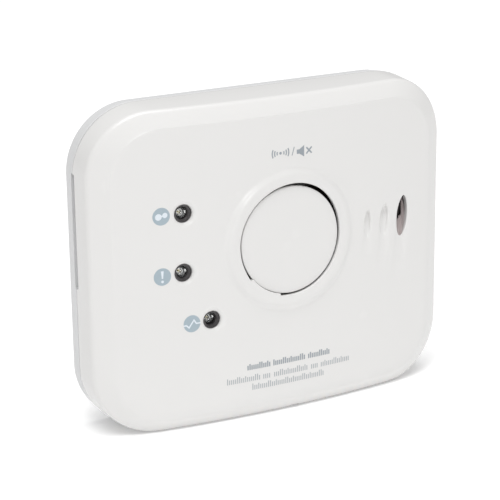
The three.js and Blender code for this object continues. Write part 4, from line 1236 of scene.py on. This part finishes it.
@dataclass
class RearHousing:
    """The grey back half, with its plate pocket, hook slots, screw bores, slide slot and side vent."""

    shape: CaseShape
    plate: Span
    slide: Span
    label: Span
    screws: list[Point]
    cover: FrontCover
    hooks: Hooks = Hooks()
    back_inset: float = 0.72
    edge: float = 0.8
    rim_gap: float = 0.3
    tongue: float = 1.25
    tongue_rise: float = 1.7
    wall: float = 2.4
    floor: float = 2.0
    pocket_depth: float = 2.3
    pocket_floor: float = 1.8
    pocket_gap: float = 0.3
    travel: float = 8.0
    slide_slot: Flat = (9.6, 4.6)
    slide_offset: float = 2.0
    head_room: float = 3.15
    shank_room: float = 1.65
    head_seat: float = 4.45
    boss: float = 8.05
    boss_radius: float = 4.2
    vent_back: float = 5.6

    def outline(self, inset: Inset, depth: float) -> Ring:
        """Returns the case outline at an inset, as a ring of even rays from the middle."""
        ring: Ring = []
        for turn in steps(0, 360, 288)[:-1]:
            distance = self.shape.reach(turn, inset)
            angle = math.radians(turn)
            ring.append((distance * math.cos(angle), depth, distance * math.sin(angle)))
        return ring

    def shell(self) -> bpy.types.Object:
        """Returns the shell with its rounded back edge and its tongue."""
        shape = self.shape
        rim = shape.parting - self.rim_gap
        rings: list[Ring] = []
        for turn in (0, 18, 36, 54, 72, 90):
            bend = math.radians(turn)
            inset = self.edge * (1 - math.sin(bend))
            ring = self.outline(shape.even(self.back_inset + inset, inset), self.edge * (1 - math.cos(bend)))
            rings.append(ring)
        top = shape.parting + self.tongue_rise
        for inset, depth in (
            (shape.even(0.04, 0.0), rim - 0.15),
            (shape.even(0.15, 0.12), rim),
            (shape.even(self.tongue), rim),
            (shape.even(self.tongue), top),
            (shape.even(self.wall), top),
            (shape.even(self.wall + self.back_inset, self.wall), self.floor),
        ):
            rings.append(self.outline(inset, depth))
        return loft("rear_shell", rings, sharp=30)

    def raised(self) -> bpy.types.Object:
        """Returns the raised floor over the plate's pocket."""
        x, z, width, height = middle_and_size(self.pocket())
        grow = 2 * self.pocket_floor
        depths = (self.floor - 1, self.pocket_depth + self.pocket_floor)
        return rounded_block("pocket_back", x, z, width + grow, height + grow, 2.0, depths, 0.3)

    def pocket(self) -> Span:
        """Returns the pocket's span, from the plate and its travel."""
        (left, _, low), (right, _, high) = self.plate
        gap = self.pocket_gap
        return (left - gap, -1.0, low - gap - self.travel), (right + gap, self.pocket_depth, high + gap)

    def hook_cutters(self) -> list[bpy.types.Object]:
        """Returns the cutters for the slots that the hooks slide along."""
        gap, hooks = self.pocket_gap, self.hooks
        depths = (self.pocket_depth - 0.5, self.pocket_depth + self.pocket_floor + 1)
        tools: list[bpy.types.Object] = []
        for x, z in hooks.places(self.plate):
            low, half = z - self.travel, hooks.tall / 2 + gap
            tall = z + half - low
            run, mouth = hooks.neck + 2 * gap, hooks.head + 2 * gap
            tools.append(rounded_block("hook_run", x, low + tall / 2, run, tall, 0.4, depths))
            tools.append(rounded_block("hook_mouth", x, low, mouth, 2 * half, 0.5, depths))
        return tools

    def bore_cutters(self) -> list[bpy.types.Object]:
        """Returns the cutters for the case screws, with softened mouths."""
        room, seat = self.head_room, self.head_seat
        profile: list[Flat] = [
            (room + 0.5, -0.6),
            (room + 0.35, 0.0),
            (room, 0.35),
            (room, seat),
            (self.shank_room, seat),
            (self.shank_room, self.boss + 0.8),
        ]
        return [turned("screw_bore", profile, x, z, 40) for x, _, z in self.screws]

    def make(self, kit: Kit) -> bpy.types.Object:
        """Builds and dresses the housing.

        Args:
            kit: the materials.

        Returns:
            The housing.
        """
        housing = self.shell()
        boss: list[Flat] = [(self.boss_radius, self.floor - 0.8), (self.boss_radius, self.boss)]
        bosses = [turned("boss", boss, x, z, 40) for x, _, z in self.screws]
        combine(housing, [self.raised(), *bosses], "UNION")
        x, z, width, height = middle_and_size(self.pocket())
        tools = [rounded_block("pocket", x, z, width, height, 1.2, (-1, self.pocket_depth))]
        x, z, _, _ = middle_and_size(self.slide)
        tools.append(rounded_block("slide_slot", x - self.slide_offset, z, *self.slide_slot, 0.8, (-1, 3)))
        x, z, width, height = middle_and_size(self.label)
        tools.append(rounded_block("label_seat", x, z, width + 1, height + 1, 1.5, (-1, 0.3)))
        tools += self.hook_cutters() + self.bore_cutters() + self.vent_cutters()
        combine(housing, tools, "DIFFERENCE", sharp=30)
        return dress(housing, "alarm_case", kit.of(Slot.GREY), ["rear_housing"])

    def vent_cutters(self) -> list[bpy.types.Object]:
        """Returns the cutters for the side vent's step and its small hole."""
        step = self.cover.vent_cutter((self.vent_back, self.shape.parting + 0.6), 0.35)
        return [step, self.cover.vent_hole_cutter()]


# ---------------------------------------------------------------- wall plate, label, slider, screws


@dataclass
class WallPlate:
    """The plate that is screwed to the wall, with its hooks, screw slots and thumb notch."""

    span: Span
    thick: float = 2.0
    corner: float = 4.0
    edge: float = 0.35
    hooks: Hooks = Hooks()
    head_back: float = 4.4
    slot: Flat = (4.2, 10.0)
    slot_x: float = 17.0
    thumb: float = 8.0
    panel: Flat = (22.0, 34.0)
    rib: float = 0.5

    def make(self, kit: Kit) -> bpy.types.Object:
        """Builds and dresses the plate.

        Args:
            kit: the materials.

        Returns:
            The plate.
        """
        _, middle, width, height = middle_and_size(self.span)
        low, front = self.span[0][2], self.span[1][1]
        depths = (0.0, self.thick)
        plate_piece = rounded_block("wall_plate", 0.0, middle, width, height, self.corner, depths, self.edge)
        neck_depths = (self.thick - 1, self.head_back + 0.5)
        head_depths = (self.head_back, front)
        form = self.hooks
        hooks: list[bpy.types.Object] = []
        for x, z in form.places(self.span):
            hooks.append(rounded_block("neck", x, z, form.neck, form.tall, 0.3, neck_depths))
            hooks.append(rounded_block("head", x, z, form.head, form.tall, 0.5, head_depths, 0.25))
        combine(plate_piece, hooks, "UNION")
        combine(plate_piece, self.cutters(middle, low), "DIFFERENCE", sharp=28)
        return dress(plate_piece, "wall_plate", kit.of(Slot.GREY), ["mounting_plate"])

    def cutters(self, middle: float, low: float) -> list[bpy.types.Object]:
        """Returns the cutters for the screw slots with their countersinks, the thumb notch and the panel."""
        tools: list[bpy.types.Object] = []
        for x, (width, height) in ((-self.slot_x, self.slot), (self.slot_x, self.slot[::-1])):
            levels: list[tuple[list[Flat], float]] = []
            top = self.thick
            for grow, depth in ((0, -1.0), (0, top - 0.9), (1.6, top + 0.02), (1.7, top + 1)):
                radius = self.slot[0] / 2 + grow - 0.01
                outline = rounded_outline(x, middle, width + 2 * grow, height + 2 * grow, radius)
                levels.append((outline, depth))
            tools.append(plate("wall_slot", levels))
        thumb: list[Flat] = [(self.thumb, -1.0), (self.thumb, self.thick + 1)]
        tools.append(turned("thumb", thumb, 0.0, low - 4.0, 64))
        tools.append(rounded_block("panel", 0.0, middle, *self.panel, 2.0, (-1.0, self.rib)))
        return tools


@dataclass
class RearLabel:
    """The plain rating label, left blank but for a thin border."""

    span: Span

    def make(self, kit: Kit) -> None:
        """Builds and dresses the label and its border."""
        x, z, width, height = middle_and_size(self.span)
        back, front = self.span[0][1], self.span[1][1]
        sheet = rounded_block("blank_label", x, z, width, height, 1.2, (back, front), 0.05)
        dress(sheet, "alarm_case", kit.of(Slot.LABEL), ["rear_label"])
        outer = rounded_outline(x, z, width - 2.0, height - 2.0, 0.8)
        inner = rounded_outline(x, z, width - 2.5, height - 2.5, 0.6)
        points = [(px, back - 0.012, pz) for px, pz in outer + inner]
        count = len(outer)
        faces = [(i, (i + 1) % count, count + (i + 1) % count, count + i) for i in range(count)]
        border = build("label_border", points, faces)
        dress(border, "alarm_case", kit.named(INK))


@dataclass
class Screw:
    """A pan-head screw with a cross recess."""

    node: str
    span: Span
    head_thick: float = 1.8
    shank: float = 1.3
    pitch: float = 0.8

    def make(self, kit: Kit) -> None:
        """Builds and dresses the screw."""
        x, z, width, _ = middle_and_size(self.span)
        back, tip, radius = self.span[0][1], self.span[1][1], width / 2
        seat = back + self.head_thick
        profile: list[Flat] = [(0.01, back), (radius * 0.55, back + 0.03), (radius * 0.8, back + 0.14)]
        profile += [(radius * 0.95, back + 0.45), (radius, back + 0.85), (radius, seat - 0.1)]
        profile += [(radius - 0.1, seat), (self.shank, seat)]
        turns = int((tip - 1.2 - seat) / self.pitch)
        for i in range(1, turns):
            start = seat + i * self.pitch
            profile += [(self.shank * 0.78, start), (self.shank, start + self.pitch * 0.5)]
        profile += [(self.shank * 0.7, tip - 1.0), (0.01, tip)]
        body = turned(f"{self.node}_body", profile, x, z, 32)
        tools: list[bpy.types.Object] = []
        for wide, tall in ((radius * 1.1, radius * 0.24), (radius * 0.24, radius * 1.1)):
            levels: list[tuple[list[Flat], float]] = []
            foot = back + self.head_thick * 0.72
            for share, depth in ((1.02, back - 0.3), (1.0, back + 0.05), (0.45, foot)):
                half_x, half_z = wide / 2 * share, tall / 2 * share
                corners = ((-1, -1), (1, -1), (1, 1), (-1, 1))
                levels.append(([(x + sx * half_x, z + sz * half_z) for sx, sz in corners], depth))
            tools.append(plate("recess", levels))
        combine(body, tools, "DIFFERENCE", sharp=30)
        dress(body, "alarm_case", kit.of(Slot.STEEL), [self.node])


# ---------------------------------------------------------------- indicator lights


@dataclass
class Indicator:
    """A clear round-topped lamp with its frame and cup inside, in a dark funnel."""

    name: str
    lamp: Span
    holder: Span
    shape: CaseShape
    radius: float = 1.78
    flange: float = 1.0
    raised: float = 0.45
    bore: float = 1.84
    funnel_mouth: float = 2.64
    funnel_sink: float = 0.75
    cup_offset: float = -0.25
    post_offset: float = 1.0

    def make(self, kit: Kit) -> None:
        """Builds and dresses the lens, the parts inside it and the funnel."""
        (left, base, low), (right, top, high) = self.lamp
        x, z, flange_radius = (left + right) / 2, (low + high) / 2, (high - low) / 2
        tip = top + self.raised
        self.lens(kit, x, z, base, tip, flange_radius)
        self.inside(kit, x, z, tip)
        self.funnel(kit, x, z)

    def lens(self, kit: Kit, x: float, z: float, base: float, tip: float, flange_radius: float) -> None:
        """Makes the clear body with its domed end."""
        shoulder = tip - self.radius
        profile: list[Flat] = [(0.01, base), (flange_radius - 0.1, base), (flange_radius, base + 0.1)]
        profile += [(flange_radius, base + self.flange), (self.radius, base + self.flange + 0.05)]
        for bend in steps(0, 89, 12):
            angle = math.radians(bend)
            profile.append((self.radius * math.cos(angle), shoulder + self.radius * math.sin(angle)))
        body = turned(f"lens_{self.name}", profile, x, z, 48)
        dress(body, "alarm_case", kit.of(Slot.LENS), [f"led_{self.name}"])

    def inside(self, kit: Kit, x: float, z: float, tip: float) -> None:
        """Makes the reflector cup, its post and the second post, inside the lens."""
        cup_top = tip - self.radius + 0.1
        cup: list[Flat] = [(0.3, cup_top - 1.5), (0.36, cup_top - 0.75), (0.72, cup_top), (0.64, cup_top)]
        cup += [(0.33, cup_top - 0.4), (0.01, cup_top - 0.4)]
        reflector = turned(f"cup_{self.name}", cup, x + self.cup_offset, z, 32)
        dress(reflector, "alarm_case", kit.named(CUP_SILVER))
        depths = (cup_top - 1.5, cup_top + 0.1)
        post = rounded_block(f"post_{self.name}", x + self.post_offset, z, 0.42, 0.6, 0.1, depths, 0.08)
        dress(post, "alarm_case", kit.named(CUP_SILVER))
        die: list[Flat] = [(0.01, cup_top - 0.38), (0.2, cup_top - 0.38)]
        die += [(0.17, cup_top - 0.2), (0.01, cup_top - 0.17)]
        chip = turned(f"die_{self.name}", die, x + self.cup_offset, z, 16)
        dress(chip, "alarm_case", kit.named(DIE))

    def funnel(self, kit: Kit, x: float, z: float) -> None:
        """Makes the dark funnel between the lens and the hole's edge."""
        top = self.shape.plain_face(x) - self.funnel_sink
        (left, base, _), (right, _, _) = self.holder
        outer = (right - left) / 2
        profile: list[Flat] = [(self.bore, base), (outer, base), (outer, top - 0.8)]
        mouth = self.funnel_mouth
        profile += [(mouth, top - 0.35), (mouth, top), (mouth - 0.12, top)]
        for sink, wide, narrow in ((0.25, 0.6, 0.42), (0.5, 0.4, 0.24), (0.75, 0.22, 0.08)):
            profile += [(self.bore + wide, top - sink), (self.bore + narrow, top - sink - 0.04)]
        profile.append((self.bore, top - 1.0))
        funnel = turned(f"funnel_{self.name}", profile, x, z, 64, closed=True)
        dress(funnel, "alarm_case", kit.of(Slot.BLACK), [f"led_holder_{self.name}"])


# ---------------------------------------------------------------- printed marks


@dataclass
class Print:
    """Thin flat marks that follow the crowned front."""

    name: str
    shape: CaseShape
    height: float
    points: list[Flat] = field(default_factory=list)
    faces: list[tuple[int, ...]] = field(default_factory=list)

    def fan(self, outline: Sequence[Flat]) -> None:
        """Adds a filled outline."""
        start = len(self.points)
        count = len(outline)
        middle = (sum(p[0] for p in outline) / count, sum(p[1] for p in outline) / count)
        self.points += [*outline, middle]
        self.faces += [(start + i, start + (i + 1) % count, start + count) for i in range(count)]

    def disc(self, x: float, z: float, radius: float) -> None:
        """Adds a filled circle."""
        self.fan([(px, pz) for px, _, pz in circle(x, z, radius, 0, 48)])

    def arc(self, x: float, z: float, radius: float, width: float, turns: Flat) -> None:
        """Adds a piece of a ring between two directions in degrees."""
        line = []
        for turn in steps(*turns, 16):
            angle = math.radians(turn)
            line.append((x + radius * math.cos(angle), z + radius * math.sin(angle)))
        self.ribbon(line, width)

    def ribbon(self, line: Sequence[Flat], width: float) -> None:
        """Adds a line of even width with mitred turns."""
        start = len(self.points)
        for i, (x, z) in enumerate(line):
            before, after = line[max(i - 1, 0)], line[min(i + 1, len(line) - 1)]
            to_here = Vector((x - before[0], z - before[1]))
            onward = Vector((after[0] - x, after[1] - z))
            first = to_here.normalized() if to_here.length else onward.normalized()
            second = onward.normalized() if onward.length else first
            across = Vector((-(first + second).y, (first + second).x)).normalized()
            reach = width / 2 / max(0.35, across.dot(Vector((-first.y, first.x))))
            self.points += [(x + side * across.x * reach, z + side * across.y * reach) for side in (1, -1)]
        pairs = range(start, start + 2 * (len(line) - 1), 2)
        self.faces += [(i, i + 1, i + 3, i + 2) for i in pairs]

    def bar(self, x: float, z: float, width: float, height: float) -> None:
        """Adds an upright bar by its lower left corner."""
        self.fan([(x, z), (x + width, z), (x + width, z + height), (x, z + height)])

    def make(self, material: bpy.types.Material) -> None:
        """Lays the marks on the front and dresses them."""
        laid = [(x, self.shape.surface(x, z) + self.height, z) for x, z in self.points]
        made = build(self.name, laid, self.faces)
        for face in made.data.polygons:
            if face.normal.y > 0:
                face.flip()
        dress(made, "alarm_case", material)


@dataclass(frozen=True)
class Row:
    """A row of upright dashes that stands for a line of small print, in groups."""

    left: float
    base: float
    groups: tuple[float, ...]
    weight: float

    def lay(self, on: Print) -> None:
        """Adds the row's dashes."""
        tall = (1.45, 1.45, 2.0, 1.45, 1.45, 1.45, 2.0, 1.45, 1.9)
        x = self.left
        step = 0.66
        for group in self.groups:
            count = max(1, round(group / step))
            for i in range(count):
                on.bar(x + i * step, self.base, self.weight, tall[(i * 5 + count) % len(tall)])
            x += group + 1.1


@dataclass
class Marks:
    """All printed marks: the three light symbols, the symbols above the button and the rows below it."""

    shape: CaseShape
    paper: float = 0.015
    badge_radius: float = 2.62
    badges: dict[str, Flat] = field(
        default_factory=lambda: {"gas": (-38.8, 17.75), "fault": (-38.9, -0.3), "pulse": (-30.2, -15.8)}
    )
    rows: tuple[Row, ...] = (
        Row(-12.7, -33.35, (7.6, 11.0, 8.0), 0.44),
        Row(-19.4, -36.95, (10.9, 2.6, 11.8, 2.4, 10.4), 0.3),
        Row(-11.1, -39.85, (25.2,), 0.3),
    )

    def make(self, kit: Kit) -> None:
        """Builds and dresses every mark."""
        for name, (x, z) in self.badges.items():
            badge = Print(f"badge_{name}", self.shape, self.paper)
            badge.disc(x, z, self.badge_radius)
            badge.make(kit.named(SYMBOL_INK))
            sign = Print(f"sign_{name}", self.shape, 2 * self.paper)
            self.draw(name, sign, x, z)
            sign.make(kit.named(SIGN_WHITE))
        above = Print("sign_above_button", self.shape, self.paper)
        self.draw_above(above)
        above.make(kit.named(INK))
        for i, row in enumerate(self.rows):
            line = Print(f"row_{i + 1}", self.shape, self.paper)
            row.lay(line)
            line.make(kit.named(INK if i == 0 else WEAK_INK))

    def draw(self, name: str, sign: Print, x: float, z: float) -> None:
        """Adds a light's white sign: joined atoms, an upright mark or a pulse."""
        if name == "gas":
            sign.disc(x - 0.85, z - 0.1, 0.98)
            sign.disc(x + 1.1, z + 0.25, 0.78)
            sign.ribbon([(x - 0.2, z), (x + 0.6, z + 0.15)], 0.5)
        elif name == "fault":
            sign.fan([(x - 0.42, z + 1.75), (x - 0.22, z - 0.55), (x + 0.22, z - 0.55), (x + 0.42, z + 1.75)])
            sign.disc(x, z - 1.45, 0.42)
        else:
            line = [(-2.6, -0.38), (-1.7, -0.38), (-0.95, -1.15), (0.62, 1.05), (1.35, -0.06), (2.6, -0.06)]
            sign.ribbon([(x + px, z + pz) for px, pz in line], 0.42)

    @staticmethod
    def draw_above(sign: Print) -> None:
        """Adds the sounding sign, a slash and a muted loudspeaker."""
        x, z = -1.0, 31.9
        sign.disc(x, z, 0.42)
        for radius in (1.15, 1.95, 2.75):
            for turn in (0, 180):
                sign.arc(x, z, radius, 0.4, (turn - 26, turn + 26))
        sign.ribbon([(2.85, 30.7), (3.6, 33.2)], 0.28)
        sign.fan([(4.45, 30.95), (5.35, 30.95), (5.35, 32.25), (4.45, 32.25)])
        sign.fan([(5.35, 30.95), (6.95, 29.85), (6.95, 33.35), (5.35, 32.25)])
        for low, high in ((30.65, 32.55), (32.55, 30.65)):
            sign.ribbon([(7.7, low), (9.55, high)], 0.48)


# ---------------------------------------------------------------- stage, light and camera


@dataclass(frozen=True)
class Camera:
    """A long lens to the left of the object and a little above it."""

    azimuth: float = -28.27
    elevation: float = 17.24
    roll: float = -0.70
    lens: float = 135.1
    distance: float = 575.3
    target_x: float = 0.66
    target_z: float = -3.81

    def make(self) -> None:
        """Adds the camera and makes it the scene's camera."""
        a, r = math.radians(self.azimuth), math.radians(self.roll)
        back = direction(self.azimuth, self.elevation)
        right = Vector((math.cos(a), math.sin(a), 0.0))
        up = back.cross(right)
        turned_right = right * math.cos(r) + up * math.sin(r)
        turned_up = up * math.cos(r) - right * math.sin(r)
        target = DATUM.place((self.target_x, 0.0, self.target_z))
        made = bpy.data.objects.new("camera", bpy.data.cameras.new("camera"))
        made.data.lens = self.lens
        made.data.clip_start = 0.01
        axes = Matrix((turned_right, turned_up, back)).transposed().to_4x4()
        made.matrix_world = Matrix.Translation(target + back * self.distance * MM) @ axes
        bpy.context.scene.collection.objects.link(made)
        bpy.context.scene.camera = made


@dataclass(frozen=True)
class Lamp:
    """A soft square lamp aimed at the object."""

    name: str
    azimuth: float
    elevation: float
    distance: float
    size: float
    power: float

    def make(self) -> None:
        """Adds the lamp."""
        back = direction(self.azimuth, self.elevation)
        light = bpy.data.lights.new(self.name, "AREA")
        light.size = self.size
        light.energy = self.power
        made = bpy.data.objects.new(self.name, light)
        aim = DATUM.place((0.0, 0.0, 0.0))
        made.location = aim + back * self.distance
        made.rotation_euler = back.to_track_quat("Z", "Y").to_euler()
        bpy.context.scene.collection.objects.link(made)


LAMPS = (
    Lamp("key", -50, 60, 2.4, 0.8, 13.0),
    Lamp("top", -10, 80, 2.4, 1.6, 40.0),
    Lamp("front", -5, 14, 1.2, 0.17, 1.9),
)


@dataclass(frozen=True)
class Stage:
    """The pale floor and the even white surround.

    Fields are the floor's reach in millimetres, its own glow, the light that the surround gives, and how
    bright the surround itself looks.
    """

    reach: float = 4000.0
    glow: float = 0.14
    light: float = 0.42
    seen: float = 0.97

    def make(self, kit: Kit) -> None:
        """Builds the floor and the surround, and keeps whites plain."""
        self.floor(kit)
        self.surround()
        bpy.context.scene.view_settings.view_transform = "Standard"

    def floor(self, kit: Kit) -> None:
        """Makes the floor at the foot of the case."""
        level = -(DATUM.middle_z - CAD_BOX[0].z) / MM
        signs = ((-1, 1), (1, 1), (1, -1), (-1, -1))
        corners = [(sx * self.reach, sy * self.reach, level) for sx, sy in signs]
        floor = build("floor", corners, [(0, 1, 2, 3)])
        if floor.data.polygons[0].normal.z < 0:
            floor.data.flip_normals()
        material = kit.named(FLOOR_PAPER)
        floor.data.materials.append(material)
        shader = material.node_tree.nodes["Principled BSDF"]
        shader.inputs["Emission Color"].default_value = PLAIN_WHITE
        shader.inputs["Emission Strength"].default_value = self.glow

    def surround(self) -> None:
        """Makes the surround."""
        world = bpy.data.worlds.new("surround")
        world.use_nodes = True
        background = world.node_tree.nodes["Background"]
        background.inputs["Color"].default_value = PLAIN_WHITE
        wires = Wires(world.node_tree)
        path = wires.node("ShaderNodeLightPath")
        strength = wires.node("ShaderNodeMath", operation="MULTIPLY_ADD")
        strength.inputs[1].default_value = self.seen - self.light
        strength.inputs[2].default_value = self.light
        wires.link(path.outputs["Is Camera Ray"], strength.inputs[0])
        wires.link(strength.outputs[0], background.inputs["Strength"])
        bpy.context.scene.world = world


def dress_cad(kit: Kit) -> None:
    """Gives every CAD node that is still shown the material of its slot."""
    slots = {item["node"]: item["material_slot"] for item in frame["record"]["subparts"]}
    for name, node in frame["nodes"].items():
        if node.hide_render:
            continue
        material = kit.of(Slot(slots[name]))
        if name == "sounder_cap":
            material = kit.named(SOUNDER_GREY)
        for slot in node.material_slots:
            slot.link = "OBJECT"
            slot.material = material


def main() -> None:
    """Builds the alarm's visible pieces in order."""
    logging.basicConfig(level=logging.INFO, format="%(message)s")
    Camera().make()
    kit = Kit(Effects())
    shape = case_shape()
    lights = {name: DATUM.centre_of(f"led_{name}") for name in ("alarm", "fault", "power")}
    cover = FrontCover(shape, lights)
    cover.make(kit)
    SoundHorn(shape).make(kit)
    TestButton(cover).make(kit)
    screws = [f"case_screw_{i}" for i in range(1, 5)]
    plate_span, slide_span = DATUM.span_of("mounting_plate"), DATUM.span_of("activation_slider")
    label_span = DATUM.span_of("rear_label")
    bores = [DATUM.centre_of(name) for name in screws]
    RearHousing(shape, plate_span, slide_span, label_span, bores, cover).make(kit)
    WallPlate(plate_span).make(kit)
    RearLabel(label_span).make(kit)
    for name in screws:
        Screw(name, DATUM.span_of(name)).make(kit)
    for name in lights:
        Indicator(name, DATUM.span_of(f"led_{name}"), DATUM.span_of(f"led_holder_{name}"), shape).make(kit)
    Marks(shape).make(kit)
    dress_cad(kit)
    Stage().make(kit)
    for lamp in LAMPS:
        lamp.make()


if __name__ == "__main__":
    main()
